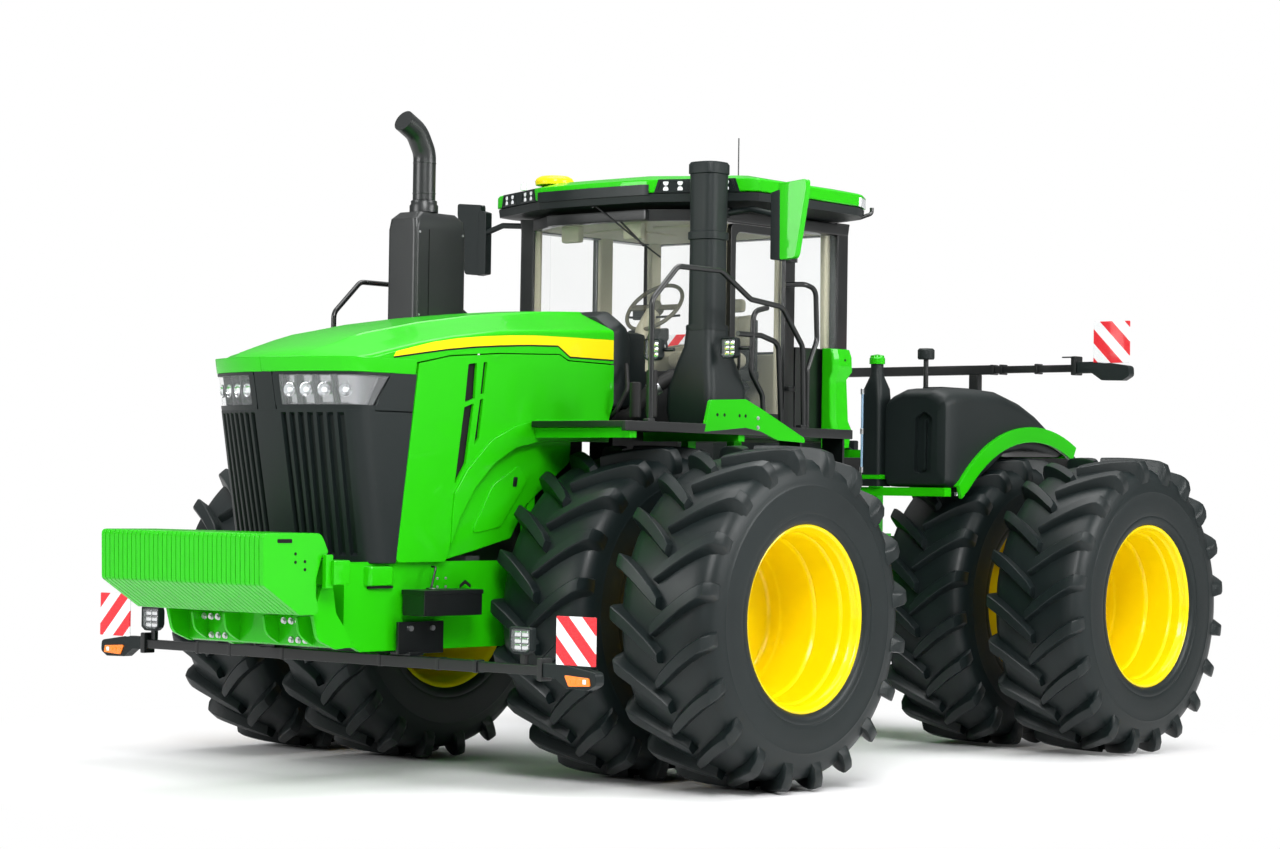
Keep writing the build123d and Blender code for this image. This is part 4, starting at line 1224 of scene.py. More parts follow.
def hood_side(side):
    """The side panel, with its slanted vents cut through."""
    outline = rounded(HOOD_LOW + HOOD_GROOVE, 0.02)
    panel = side_sheet(outline, 0.584, 0.602, side, 0.006)
    cutters = [side_sheet(rounded(vent, 0.008, 3), 0.55, 0.65, side, 0.0) for vent in VENTS]
    return cut_out(panel, cutters)


def strip_along(first, second, inner, outer, side, soft=0.003):
    """A band between two lines, standing on the side panel."""
    return side_sheet(list(first) + list(reversed(second)), inner, outer, side, soft)


def nose_point(across, height, inset=0.0, side=1):
    """A point on the nose: out from the middle, round the corner and back along the side."""
    share = (height - 1.33) / (2.44 - 1.33)
    middle = -4.035 - 0.210 * share
    corner = -3.885 - 0.195 * share
    rear = -3.716 + 0.150 * share

    def plan(step):
        if step <= 0.52:
            return Vector((step, middle + (corner - middle) * (step / 0.6) ** 2))
        start = plan(0.52)
        end = Vector((0.6, corner + 0.10))
        if step <= 0.66:
            part = (step - 0.52) / 0.14
            knee = Vector((0.6, corner - 0.012))
            return start * (1 - part) ** 2 + knee * 2 * part * (1 - part) + end * part**2
        run = (step - 0.66) / 0.42
        return end + Vector((0.0, (rear - end.y) * run))

    here = plan(across)
    ahead = plan(across + 0.002) - plan(max(0.0, across - 0.002))
    outward = Vector((-ahead.y, ahead.x)).normalized() * -1 if ahead.length else Vector((0, -1))
    if outward.y > 0.2:
        outward = -outward
    spot = here - outward * inset
    return Vector((side * spot.x, HINGE + spot.y, height))


def nose_tile(first, last, low, high, inset, depth, side, slant=0.0, count=10):
    """A closed tile following the nose, with a slanted outer end."""
    steps = [first + (last - first) * index / count for index in range(count + 1)]
    rows = []
    for height in (low, (low + high) / 2, high):
        share = (height - low) / (high - low)
        rows.append([step + slant * share * (step - first) / (last - first) for step in steps])
    shape = bmesh.new()
    layers = []
    for level in (inset, inset + depth):
        layer = []
        for row, height in zip(rows, (low, (low + high) / 2, high)):
            layer.append([shape.verts.new(nose_point(step, height, level, side)) for step in row])
        layers.append(layer)
    front, back = layers
    for row in range(2):
        for index in range(count):
            for layer in layers:
                shape.faces.new(
                    (
                        layer[row][index], layer[row][index + 1], layer[row + 1][index + 1],
                        layer[row + 1][index]
                    )
                )
    for row in (0, 2):
        for index in range(count):
            shape.faces.new(
                (front[row][index], front[row][index + 1], back[row][index + 1], back[row][index])
            )
    for row in range(2):
        for index in (0, count):
            shape.faces.new(
                (front[row][index], front[row + 1][index], back[row + 1][index], back[row][index])
            )
    bmesh.ops.recalc_face_normals(shape, faces=shape.faces)
    return shape


def grille_columns(sizes):
    """Places across the grille's front, with the slots' edges and depth."""
    columns = [(0.0, 0.0), (0.06, 0.0), (0.10, 0.0)]
    pitch = 0.37 / (sizes.slot_count - 1)
    for number in range(sizes.slot_count):
        middle = 0.132 + number * pitch
        for offset, depth in ((-0.020, 0.0), (-0.013, 0.028), (0.013, 0.028), (0.020, 0.0)):
            columns.append((middle + offset, depth))
    columns += [(0.545, 0.0), (0.56, 0.0), (0.575, 0.0), (0.59, 0.0), (0.605, 0.0), (0.62, 0.0)]
    columns += [(0.64, 0.0), (0.66, 0.0), (0.76, 0.0), (0.90, 0.0), (1.04, 0.0), (1.08, 0.0)]
    return columns


def grille_sheet(sizes):
    """The grille from side to side, slots included, closed by a back sheet."""
    heights = [1.330, 1.336, 1.372, 1.392, 1.5, 1.7, 1.9, 2.1, 2.190, 2.206, 2.222]
    columns = grille_columns(sizes)
    across_both = [(across, depth, -1) for across, depth in reversed(columns[1:])]
    across_both += [(across, depth, 1) for across, depth in columns]
    rings = []
    for height in heights:
        share = (height - heights[0]) / (heights[-1] - heights[0])
        ring = []
        for across, depth, side in across_both:
            inset = depth if 1.385 < height < 2.2 else 0.0
            if height == heights[0]:
                inset += 0.008
            gather = 1.0 - 0.10 * (1.0 - share) * max(0.0, 1.0 - abs(across - 0.3) / 0.3)
            ring.append(nose_point(across * gather, height, inset, side))
        rings.append(ring)
    sheet = skin(rings, capped=False, around=False)
    outer = min(sheet.faces, key=lambda face: face.calc_center_median().y)
    if outer.normal.y > 0:
        bmesh.ops.reverse_faces(sheet, faces=sheet.faces)
    return thickened(sheet, 0.02)


LAMP_SLANT = 0.17
LAMP_CELLS = (
    # inner and outer end across the nose
    (0.135, 0.235),
    (0.250, 0.350),
    (0.365, 0.465),
    (0.482, 0.700),
)


def lamp_bowl(side, first, last, low, high):
    """A reflector bowl sunk behind a lens."""
    middle = nose_point((first + last) / 2, (low + high) / 2, 0.014, side)
    deeper = nose_point((first + last) / 2, (low + high) / 2, 0.060, side)
    direction = (deeper - middle).normalized()
    across, up = facing(direction)
    radius = min(high - low, last - first) / 2 * 0.82
    rings = []
    for depth, share in (
        (0.0, 1.0), (0.012, 0.93), (0.026, 0.72), (0.034, 0.40), (0.036, 0.2), (0.02, 0.16)
    ):
        spot = middle + direction * depth
        rings.append(
            [
                spot
                + across * radius * share * math.cos(FULL_TURN * index / 24)
                + up * radius * share * math.sin(FULL_TURN * index / 24)
                for index in range(24)
            ]
        )
    shape = skin(rings, capped=False)
    shape.faces.new([vertex for vertex in shape.verts[-24:]])
    bmesh.ops.recalc_face_normals(shape, faces=shape.faces)
    return thickened(shape, 0.002)


INNER_PANEL = (
    # Y, Z of the green panel behind the wheel arch
    (-3.300, 1.345),
    (-3.240, 1.356),
    (-3.004, 1.406),
    (-2.701, 1.476, 0.03),
    (-2.566, 1.679, 0.05),
    (-2.168, 1.950, 0.05),
    (-2.162, 2.120),
    (-2.700, 2.120),
    (-3.020, 1.990),
    (-3.290, 1.700),
)
INNER_DOOR = (
    (-3.060, 1.500, 0.03), (-2.800, 1.545, 0.03), (-2.560, 1.830, 0.04), (-2.640, 1.925, 0.04),
    (-2.870, 1.800, 0.05)
)
LIP_LOW = 2.442
LIP_HIGH = 2.530


class TRACTOR_OT_hood(bpy.types.Operator):
    """Hood sheets, lip, vents, arches and side stripe"""

    bl_idname = "tractor.hood"
    bl_label = "Hood"

    def execute(self, context):
        piece = Piece("hood_panels")
        sections = [hood_section(*row) for row in CREST]
        top = skin(sections, capped=False, around=False)
        piece.add(thickened(top, 0.012), "body_paint")
        for side in SIDES:
            lip = soften(
                nose_tile(0.0, 1.07, LIP_LOW, LIP_HIGH, -0.004, 0.05, side, 0.0, 24), 0.006, 2, 50.0
            )
            piece.add(lip, "body_paint")
            piece.add(hood_side(side), "body_paint")
            edge = [(y, z) for y, z, _ in HOOD_LOW[3:11]]
            piece.add(strip_along(ARCH_LINE, edge, 0.600, 0.612, side, 0.005), "body_paint")
            # Near-black sheet behind the vents: painted shade of the hood's shadowed inside.
            behind = [(-3.30, 2.56), (-2.92, 2.58), (-2.96, 2.10), (-3.28, 1.76)]
            piece.add(side_sheet(behind, 0.560, 0.580, side), "dark_gap")
            piece.add(side_sheet(rounded(INNER_PANEL, 0.02), 0.552, 0.568, side, 0.005), "body_paint")
            piece.add(side_sheet(rounded(INNER_DOOR, 0.03), 0.562, 0.576, side, 0.006), "body_paint")
            latch = [(-2.700, 1.790), (-2.665, 1.790), (-2.655, 1.850), (-2.690, 1.850)]
            piece.add(side_sheet(rounded(latch, 0.01), 0.570, 0.580, side, 0.003), "black_steel")
            piece.add(
                strip_along(STRIPE_TOP, list(reversed(STRIPE_LOW)), 0.5995, 0.6035, side, 0.001),
                "wheel_paint"
            )
            # Thin near-black band along the stripe's lower edge: a painted shadow line.
            line = [(y, z - 0.010) for y, z in STRIPE_LOW]
            piece.add(strip_along(STRIPE_LOW, line, 0.5995, 0.6032, side, 0.0005), "dark_gap")
        piece.finish("hood", "green_paint", ["hood_shell"], 28.0)
        return {"FINISHED"}


class TRACTOR_OT_grille(bpy.types.Operator):
    """Slotted grille with the bare middle band"""

    bl_idname = "tractor.grille"
    bl_label = "Grille"

    def execute(self, context):
        sizes = context.scene.tractor_sizes
        piece = Piece("grille_panel")
        piece.add(grille_sheet(sizes), "black_plastic")
        for side in SIDES:
            piece.add(nose_tile(0.0, 0.075, 2.215, 2.442, 0.002, 0.02, side, 0.0, 4), "black_plastic")
            # Near-black tile sunk behind the lamp band: painted shade of the recess.
            piece.add(nose_tile(0.075, 0.80, 2.215, 2.442, 0.075, 0.012, side, 0.2, 20), "dark_gap")
            piece.add(nose_tile(1.08, 0.70, 2.215, 2.442, 0.0, 0.02, side, LAMP_SLANT, 8), "black_plastic")
        piece.finish("hood", "black_plastic", ["grille"], 30.0)
        return {"FINISHED"}


class TRACTOR_OT_headlights(bpy.types.Operator):
    """Two banks of four lamps that wrap round the nose"""

    bl_idname = "tractor.headlights"
    bl_label = "Headlights"

    def execute(self, context):
        piece = Piece("headlight_banks")
        low, high = 2.250, 2.424
        for side in SIDES:
            frames = (
                # inner and outer end, bottom, top, slant
                (0.085, 0.72, 2.222, low, 0.03),
                (0.085, 0.87, high, 2.440, 0.0),
                (0.080, 0.128, low, high, 0.0),
            )
            for first, last, bottom, top, slant in frames:
                piece.add(nose_tile(first, last, bottom, top, 0.001, 0.03, side, slant, 18), "fine_plastic")
            for number, (first, last) in enumerate(LAMP_CELLS):
                slant = 0.12 if number == 3 else 0.0
                back = nose_tile(first, last, low + 0.004, high - 0.004, 0.052, 0.006, side, slant)
                piece.add(back, "lamp_back")
                if number < 3:
                    divider = nose_tile(last, last + 0.012, low, high, 0.010, 0.045, side, 0.0, 2)
                    piece.add(divider, "fine_plastic")
                centre = (first + min(last, 0.60)) / 2
                piece.add(lamp_bowl(side, centre - 0.05, centre + 0.05, low, high), "lamp_bowl")
                bulb = nose_point(centre, (low + high) / 2, 0.036, side)
                piece.add(rod(bulb, bulb + Vector((0, -0.02, 0)), 0.016, 16, 0.004), "lamp_white")
            piece.add(nose_tile(0.130, 0.69, low, high, 0.002, 0.004, side, LAMP_SLANT - 0.01, 24), "lens")
        piece.finish("hood", "lamp_lens", ["headlights"], 30.0)
        return {"FINISHED"}


# Nose weights and lower front -------------------------------------------------------------------

WEIGHT_OUTLINE = (
    (-4.846, 1.511, 0.03), (-4.405, 1.511, 0.06), (-4.345, 1.400, 0.02), (-4.402, 1.368, 0.01),
    (-4.455, 1.205, 0.04), (-4.405, 1.050, 0.03), (-4.560, 1.050, 0.03), (-4.838, 1.222, 0.03)
)
WEIGHT_HALF = 0.70


class TRACTOR_OT_weights(bpy.types.Operator):
    """Row of weight plates and the carrier they hang on"""

    bl_idname = "tractor.weights"
    bl_label = "Weights"

    def execute(self, context):
        count = context.scene.tractor_sizes.weight_count
        pitch = 2 * WEIGHT_HALF / count
        outline = from_hinge(rounded(WEIGHT_OUTLINE, 0.02, 3))
        piece = Piece("weight_plates")
        slab = plate(outline, "X", -pitch * 0.45, pitch * 0.45, 0.004)
        piece.take(repeated(slab, (-WEIGHT_HALF + pitch / 2, 0, 0), (pitch, 0, 0), count, "body_paint"))
        core = [(y + 0.012 * (1 if y < -4.6 else -1), z + (0.012 if z < 1.3 else -0.012)) for y, z in (
            (-4.84, 1.505), (-4.42, 1.505), (-4.42, 1.06), (-4.56, 1.06), (-4.83, 1.23))]
        piece.add(plate(from_hinge(core), "X", -0.69, 0.69, 0.0), "body_paint")
        for side in SIDES:
            # Near-black discs: painted shade inside the plates' holes.
            for y, z in ((-4.602, 1.395), (-4.601, 1.348), (-4.529, 1.351), (-4.528, 1.306)):
                piece.add(rod((side * 0.698, HINGE + y, z), (side * 0.7, HINGE + y, z), 0.009), "dark_gap")
            # Near-black slot: painted shade inside it.
            slot = rounded([(-4.74, 1.478), (-4.63, 1.478), (-4.63, 1.456), (-4.74, 1.456)], 0.006)
            piece.add(side_sheet(slot, 0.697, 0.7, side, 0.0), "dark_gap")
        piece.finish("front_frame", "green_paint", ["front_weights"])
        bracket = Piece("weight_carrier")
        bracket.add(hinge_block((-0.76, 0.76), (-4.362, -4.232), (1.218, 1.359), 0.012), "body_paint")
        for side in SIDES:
            ear = rounded([(-4.40, 1.39), (-4.345, 1.39), (-4.345, 1.20), (-4.40, 1.20)], 0.01)
            bracket.add(side_sheet(ear, 0.704, 0.735, side), "body_paint")
            cheek = (
                (-4.335, 1.21, 0.02), (-4.25, 1.21, 0.01), (-4.22, 1.05, 0.08), (-4.12, 0.93, 0.06),
                (-4.09, 0.855, 0.02), (-4.22, 0.845, 0.05), (-4.36, 0.90, 0.08), (-4.40, 1.04, 0.02)
            )
            bracket.add(side_sheet(rounded(cheek, 0.02), 0.610, 0.636, side), "body_paint")
            for x in (0.44, 0.16):
                web = (
                    (-4.36, 1.03), (-4.10, 1.03), (-4.10, 0.862), (-4.24, 0.862, 0.1), (-4.34, 0.92, 0.1)
                )
                bracket.add(side_sheet(rounded(web, 0.01), x, x + 0.02, side), "body_paint")
            places = [
                (side * (0.345 + dx), HINGE - 4.238 + dy, z) for dx in (-0.06, 0.0, 0.06) for dy,
                z in ((0.0, 0.887), (-0.06, 1.0))
            ]
            bracket.take(bolt_heads(places, (0, -1, -0.3), 0.014))
        apron = ((-4.23, 0.86), (-4.21, 0.85), (-4.06, 0.85), (-4.06, 0.88), (-4.20, 0.88))
        bracket.add(plate(from_hinge(apron), "X", -0.62, 0.62, 0.004), "body_paint")
        front = ((-4.236, 0.86), (-4.221, 0.86), (-4.232, 1.22), (-4.247, 1.22))
        bracket.add(plate(from_hinge(front), "X", -0.62, 0.62, 0.004), "body_paint")
        bracket.finish("front_frame", "green_paint", ["weight_bracket"])
        return {"FINISHED"}


def chevron(y, z, size):
    """A pointed slot in the frame's side."""
    return [
        (y - size, z - size * 0.45), (y - size, z), (y, z + size * 0.62), (y + size, z),
        (y + size, z - size * 0.45), (y, z + size * 0.17)
    ]


class TRACTOR_OT_lower_front(bpy.types.Operator):
    """Bolts, slots, handles, lip and tool box of the front frame"""

    bl_idname = "tractor.lower_front"
    bl_label = "Lower front"

    def execute(self, context):
        piece = Piece("front_frame_trim")
        for side in SIDES:
            places = [(side * 0.604, HINGE + y, z) for y, z in (
                (-3.37, 1.24), (-3.37, 1.19), (-3.37, 1.14), (-3.30, 1.24), (-3.30, 1.19), (-3.30, 1.14))]
            piece.take(bolt_heads(places, (side, 0, 0), 0.006, "zinc"))
            # Near-black chevrons: painted shade inside the slots.
            for z in (1.20, 1.12):
                piece.add(side_sheet(chevron(-3.13, z, 0.045), 0.598, 0.606, side, 0.0), "dark_gap")
            handle = [(0.606, -3.42, 1.31), (0.65, -3.43, 1.31), (0.65, -3.47, 1.18), (0.606, -3.46, 1.18)]
            piece.add(pipe(along_side(handle, side), 0.007, 0.02, 8), "black_steel")
        lip = rounded(
            [
                (-0.60, -3.92), (-0.3, -4.04, 0.3), (0.3, -4.04, 0.3), (0.60, -3.92), (0.60, -3.72),
                (-0.60, -3.72)
            ],
            0.03
        )
        lip = from_hinge_plan(lip)
        piece.add(plate(lip, "Z", 1.20, 1.318, 0.02), "body_paint")
        # Near-black strip under the lip: painted shadow under its overhang.
        under = [(x * 0.97, y + 0.02) for x, y in lip]
        piece.add(plate(under, "Z", 1.185, 1.20, 0.0), "dark_gap")
        piece.finish("front_frame", "green_paint")
        box = Piece("tool_boxes")
        body = ((-3.64, 1.025), (-3.64, 1.17), (-3.15, 1.17), (-3.15, 1.025))
        box.add(side_sheet(rounded(body, 0.008), 0.585, 0.765, 1, 0.006), "black_steel")
        box.add(
            side_sheet(
                rounded(((-3.645, 1.15), (-3.645, 1.178), (-3.145, 1.178), (-3.145, 1.15)), 0.004), 0.58,
                0.77, 1, 0.004
            ),
            "black_steel"
        )
        box.add(rod((0.66, HINGE - 3.47, 1.178), (0.66, HINGE - 3.47, 1.186), 0.02), "zinc")
        box.add(hinge_block((0.64, 0.70), (-3.50, -3.30), (1.176, 1.182), 0.002), "black_steel")
        box.finish("front_frame", "black_plastic", ["toolbox"])
        return {"FINISHED"}


def sleeve(x, y, z, half, length):
    """A square clamp round a light bar."""
    return block((x - length / 2, x + length / 2), (y - half, y + half), (z - half, z + half), 0.006)


def end_housing(side, y, z, drop=0.0):
    """The angular box that carries the indicator at a light bar's end."""
    outline = rounded(
        [
            (side * 1.70, z + 0.044, 0.01), (side * 1.88, z + 0.044, 0.02),
            (side * 2.124, z + 0.010 + drop, 0.03), (side * 2.128, z - 0.060 + drop, 0.03),
            (side * 2.07, z - 0.092 + drop, 0.02), (side * 1.90, z - 0.088 + drop, 0.02),
            (side * 1.82, z - 0.036, 0.03), (side * 1.70, z - 0.036, 0.01)
        ],
        0.02
    )
    return plate(outline, "Y", y - 0.036, y + 0.036, 0.006)


def work_lamp(x, y, z, width, height):
    """Housing, bowl and lens of a square work lamp facing forwards."""
    front = HINGE + y
    outline = rounded(
        [
            (x - width / 2, z - height * 0.35), (x - width / 2, z + height * 0.5),
            (x + width / 2, z + height * 0.5), (x + width / 2, z - height * 0.35),
            (x + width * 0.3, z - height * 0.5), (x - width * 0.3, z - height * 0.5)
        ],
        0.014
    )
    inner = [(x + (a - x) * 0.84, z + (b - z) * 0.82) for a, b in outline]
    rings = []
    for depth, share in ((0.012, 1.0), (0.0, 0.97), (-0.002, 0.9)):
        rings.append([(x + (a - x) * share, front + depth, z + (b - z) * share) for a, b in outline])
    rings.append([(a, front + 0.002, b) for a, b in inner])
    rings.append([(x + (a - x) * 0.7, front + 0.03, z + (b - z) * 0.7) for a, b in inner])
    bezel = skin(rings, capped=False)
    bezel.faces.new([vertex for vertex in bezel.verts[-len(inner):]])
    back = [
        [(x + (a - x) * share, front + depth, z + (b - z) * share) for a, b in outline] for depth,
        share in ((0.012, 1.0), (0.045, 0.96), (0.07, 0.7))
    ]
    housing = skin(back, capped=False)
    housing.faces.new([vertex for vertex in housing.verts[-len(outline):]])
    shell = joined([bezel, housing])
    bmesh.ops.remove_doubles(shell, verts=shell.verts, dist=0.0001)
    bmesh.ops.recalc_face_normals(shell, faces=shell.faces)
    lens = plate([(a, b) for a, b in inner], "Y", front + 0.003, front + 0.006, 0.0)
    facets = []
    for row in range(3):
        for column in range(2):
            cx = x + (column - 0.5) * width * 0.34
            cz = z + (row - 1) * height * 0.24
            facets.append(block((cx - width * 0.15, cx + width * 0.15), (front + 0.012, front + 0.026),
                                (cz - height * 0.10, cz + height * 0.10), 0.006))
    return shell, lens, facets


def add_work_lamp(piece, x, y, z, width, height):
    """Puts a work lamp into a piece."""
    shell, lens, facets = work_lamp(x, y, z, width, height)
    piece.add(shell, "fine_plastic")
    piece.add(lens, "lens")
    for facet in facets:
        piece.add(facet, "lamp_bowl")


def marker_board(x, y, low, high):
    """A marker board: a thin plate with rounded corners and softened edges."""
    outline = rounded([(x[0], low), (x[1], low), (x[1], high), (x[0], high)], 0.008)
    return plate(outline, "Y", y - 0.008, y + 0.002, 0.002)


LIGHT_BAR_Z = 0.758


class TRACTOR_OT_front_lights(bpy.types.Operator):
    """Front light bar, its indicators, marker boards and work lamps"""

    bl_idname = "tractor.front_lights"
    bl_label = "Front lights"

    def execute(self, context):
        bar = Piece("front_bar")
        y = HINGE - 3.63
        for first, last, half in ((-1.2, 1.2, 0.034), (-1.72, -1.2, 0.028), (1.2, 1.72, 0.028)):
            bar.add(
                block((first, last), (y - half, y + half), (LIGHT_BAR_Z - half, LIGHT_BAR_Z + half), 0.006),
                "black_steel"
            )
        for x in (-1.2, -0.42, 0.42, 1.2, 0.9, -0.9):
            bar.add(sleeve(x, y, LIGHT_BAR_Z, 0.037, 0.03), "black_steel")
        for side in SIDES:
            bar.add(end_housing(side, y, LIGHT_BAR_Z), "fine_plastic")
            bar.add(
                block((side * 0.50, side * 0.66), (y - 0.02, y + 0.10), (0.79, 0.815), 0.006), "black_steel"
            )
            bar.add(
                block((side * 0.605, side * 0.625), (y - 0.08, y + 0.30), (0.80, 0.99), 0.006),
                "black_steel"
            )
            for dy in (0.02, 0.20):
                bar.add(rod((side * 0.625, y + dy, 0.95), (side * 0.637, y + dy, 0.95), 0.016), "zinc")
            bar.add(
                block((side * 1.69, side * 1.73), (y - 0.045, y + 0.045), (0.70, 0.83), 0.008),
                "black_steel"
            )
        bar.finish("front_frame", "black_paint", ["front_light_bar"])
        marks = Piece("front_marks")
        marks.add(marker_board((1.836, 2.128), y - 0.038, 0.80, 1.072), "marker_left")
        marks.add(marker_board((-2.128, -1.836), y - 0.038, 0.80, 1.072), "marker_right")
        for side in SIDES:
            glow = rounded(
                [(side * 1.895, 0.745), (side * 2.08, 0.735), (side * 2.09, 0.69), (side * 1.93, 0.682)],
                0.01
            )
            marks.add(plate(glow, "Y", y - 0.044, y - 0.03, 0.003), "indicator")
            for number in range(4):
                x = side * (1.935 + number * 0.038)
                marks.add(
                    block((x - 0.012, x + 0.012), (y - 0.047, y - 0.04), (0.70, 0.726), 0.004),
                    "lamp_white" if number == 3 else "indicator"
                )
        marks.finish("front_frame", "marker_sheet", ["front_markers"])
        lamps = Piece("front_work_lamps")
        for x in (1.55, -1.65):
            add_work_lamp(lamps, x, -3.665, 0.921, 0.17, 0.155)
            lamps.add(
                block((x - 0.02, x + 0.02), (y - 0.01, y + 0.02), (0.785, 0.86), 0.006), "black_steel"
            )
        lamps.finish("front_frame", "lamp_lens", ["work_lamps"])
        return {"FINISHED"}


# Stacks and cowl --------------------------------------------------------------------------------


def rounded_box(width, depth, radius, steps=4):
    """A rectangle about the origin with rounded corners."""
    w, d = width / 2, depth / 2
    return rounded([(w, -d), (w, d), (-w, d), (-w, -d)], radius, steps)


def loft(stations):
    """Rounded rectangles stacked upwards: (x, y, z, width, depth, radius)."""
    rings = []
    for x, y, z, width, depth, radius in stations:
        rings.append([(x + a, y + b, z) for a, b in rounded_box(width, depth, radius)])
    return skin(rings)


class TRACTOR_OT_stacks(bpy.types.Operator):
    """Exhaust housing with its elbow, and the air intake with its flared foot"""

    bl_idname = "tractor.stacks"
    bl_label = "Stacks"

    def execute(self, context):
        box = Piece("exhaust_housing")
        x, y = -0.765, HINGE - 2.12
        box.add(loft((
            (x, y, 2.205, 0.262, 0.470, 0.03),
            (x, y, 3.46, 0.262, 0.470, 0.03),
            (x, y, 3.53, 0.250, 0.455, 0.04),
            (x, y, 3.575, 0.20, 0.36, 0.05),
        )), "stack_paint")
        for z in (2.9, 3.44):
            for dy in (-0.2, 0.2):
                box.add(rod((x + 0.13, y + dy, z), (x + 0.1345, y + dy, z), 0.008), "zinc")
        # Near-black strip: painted shade in the seam between the housing's panels.
        seam = block((x - 0.134, x + 0.134), (y - 0.115, y - 0.110), (2.25, 3.46), 0.001)
        box.add(seam, "dark_gap")
        box.add(block((x - 0.11, x + 0.11), (y + 0.234, y + 0.2395), (2.6, 3.1), 0.01), "stack_paint")
        box.finish("front_frame", "black_paint", ["exhaust_box"])
        pipes = Piece("exhaust_elbow")
        px, py = -0.75, HINGE - 2.17
        pipes.add(turned(((3.58, 0.094), (3.625, 0.094), (3.635, 0.086), (3.655, 0.086), (3.66, 0.078)),
                         (px, py, 0), "Z", 40), "stack_paint")
        path = [(px, py, 3.62), (px, py, 3.97), (px, py - 0.075, 4.10), (px, py - 0.20, 4.165)]
        tube_shape = pipe(path, 0.0745, 0.16, 32, 8)
        pipes.add(tube_shape, "stack_paint")
        for z in (3.70, 3.90):
            pipes.add(turned(((z, 0.0745), (z + 0.002, 0.0765), (z + 0.008, 0.0765), (z + 0.01, 0.0745)),
                             (px, py, 0), "Z", 32), "stack_paint")
        pipes.finish("front_frame", "black_paint", ["exhaust_pipe"], 40.0)
        intake = Piece("intake_stack")
        ix, iy = 1.0, HINGE - 1.36
        flare = (
            (ix, iy, 2.205, 0.36, 0.36, 0.05), (ix, iy, 2.30, 0.385, 0.39, 0.06),
            (ix, iy, 2.44, 0.375, 0.38, 0.06), (ix, iy, 2.58, 0.30, 0.31, 0.06),
            (ix, iy, 2.70, 0.235, 0.24, 0.06), (ix, iy, 2.84, 0.212, 0.215, 0.06)
        )
        intake.add(loft(flare), "black_plastic")
        tower = (
            (ix, iy, 2.82, 0.205, 0.205, 0.07), (ix, iy, 3.38, 0.202, 0.202, 0.07),
            (ix, iy, 3.385, 0.222, 0.222, 0.075), (ix, iy, 3.43, 0.222, 0.222, 0.075),
            (ix, iy, 3.435, 0.202, 0.202, 0.07), (ix, iy, 3.80, 0.208, 0.208, 0.07),
            (ix, iy, 3.805, 0.225, 0.225, 0.08), (ix, iy, 3.862, 0.225, 0.225, 0.08),
            (ix, iy, 3.878, 0.208, 0.208, 0.08)
        )
        intake.add(loft(tower), "black_plastic")
        intake.add(
            loft(((ix, iy, 2.805, 0.225, 0.23, 0.07), (ix, iy, 2.835, 0.225, 0.23, 0.07))), "black_plastic"
        )
        intake.finish("front_frame", "black_plastic", ["air_intake"], 40.0)
        return {"FINISHED"}


class TRACTOR_OT_cowl(bpy.types.Operator):
    """Seal behind the hood, with the hoses beside it"""

    bl_idname = "tractor.cowl"
    bl_label = "Cowl"

    def execute(self, context):
        piece = Piece("cowl_seal")
        rings = []
        for depth, half, low, top in (
            (-1.800, 0.575, 2.30, 2.885), (-1.760, 0.590, 2.30, 2.905), (-1.700, 0.588, 2.30, 2.925),
            (-1.640, 0.575, 2.30, 2.900), (-1.600, 0.560, 2.30, 2.860)
        ):
            ring = rounded([(-half, low), (half, low), (half, top - 0.09, 0.08), (half - 0.14, top, 0.1),
                            (-half + 0.14, top, 0.1), (-half, top - 0.09, 0.08)], 0.03)
            rings.append([(a, HINGE + depth, b) for a, b in ring])
        piece.add(skin(rings), "black_plastic")
        piece.add(hinge_block((-0.52, 0.52), (-1.62, -1.375), (2.2, 2.80), 0.05), "black_plastic")
        piece.add(hinge_block((0.02, 0.12), (-1.66, -1.58), (2.87, 2.89), 0.02), "black_plastic")
        for side in SIDES:
            low = [(0.30, -1.72, 2.24), (0.62, -1.66, 2.25), (0.74, -1.60, 2.42), (0.84, -1.48, 2.52)]
            piece.add(pipe(along_side(low, side), 0.045, 0.1, 16, 6), "hose_rubber")
            band = [(0.735, -1.605, 2.41), (0.775, -1.565, 2.45)]
            piece.add(rod(*along_side(band, side), 0.05), "zinc")
            thin = [(0.55, -1.78, 2.23), (0.66, -1.84, 2.28), (0.72, -1.80, 2.42), (0.62, -1.70, 2.58)]
            piece.add(pipe(along_side(thin, side), 0.014, 0.06, 10, 5), "hose_rubber")
        piece.finish("front_frame", "black_plastic", ["cowl"])
        return {"FINISHED"}


# Cab --------------------------------------------------------------------------------------------

FLOOR_Z = 2.18
SILL_Z = 2.56
PANEL_LOW = 2.215  # foot of the cab's side panels
PANEL_X = 0.868  # their outer face
HEADER_TOP = 3.615
LINTEL_Z = 3.54


def post(foot, head, width, depth, turn, low=2.12, high=3.62, soft=0.018):
    """A slightly rounded post between two plan points."""
    rings = []
    for (x, y), z, share in (
        (foot, low, 1.12), (foot, SILL_Z, 1.0), (head, LINTEL_Z, 1.0), (head, high, 1.15)
    ):
        cosine, sine = math.cos(math.radians(turn)), math.sin(math.radians(turn))
        ring = []
        for a, b in rounded_box(width * share, depth * share, soft, 3):
            ring.append((x + a * cosine - b * sine, HINGE + y + a * sine + b * cosine, z))
        rings.append(ring)
    return skin(rings)


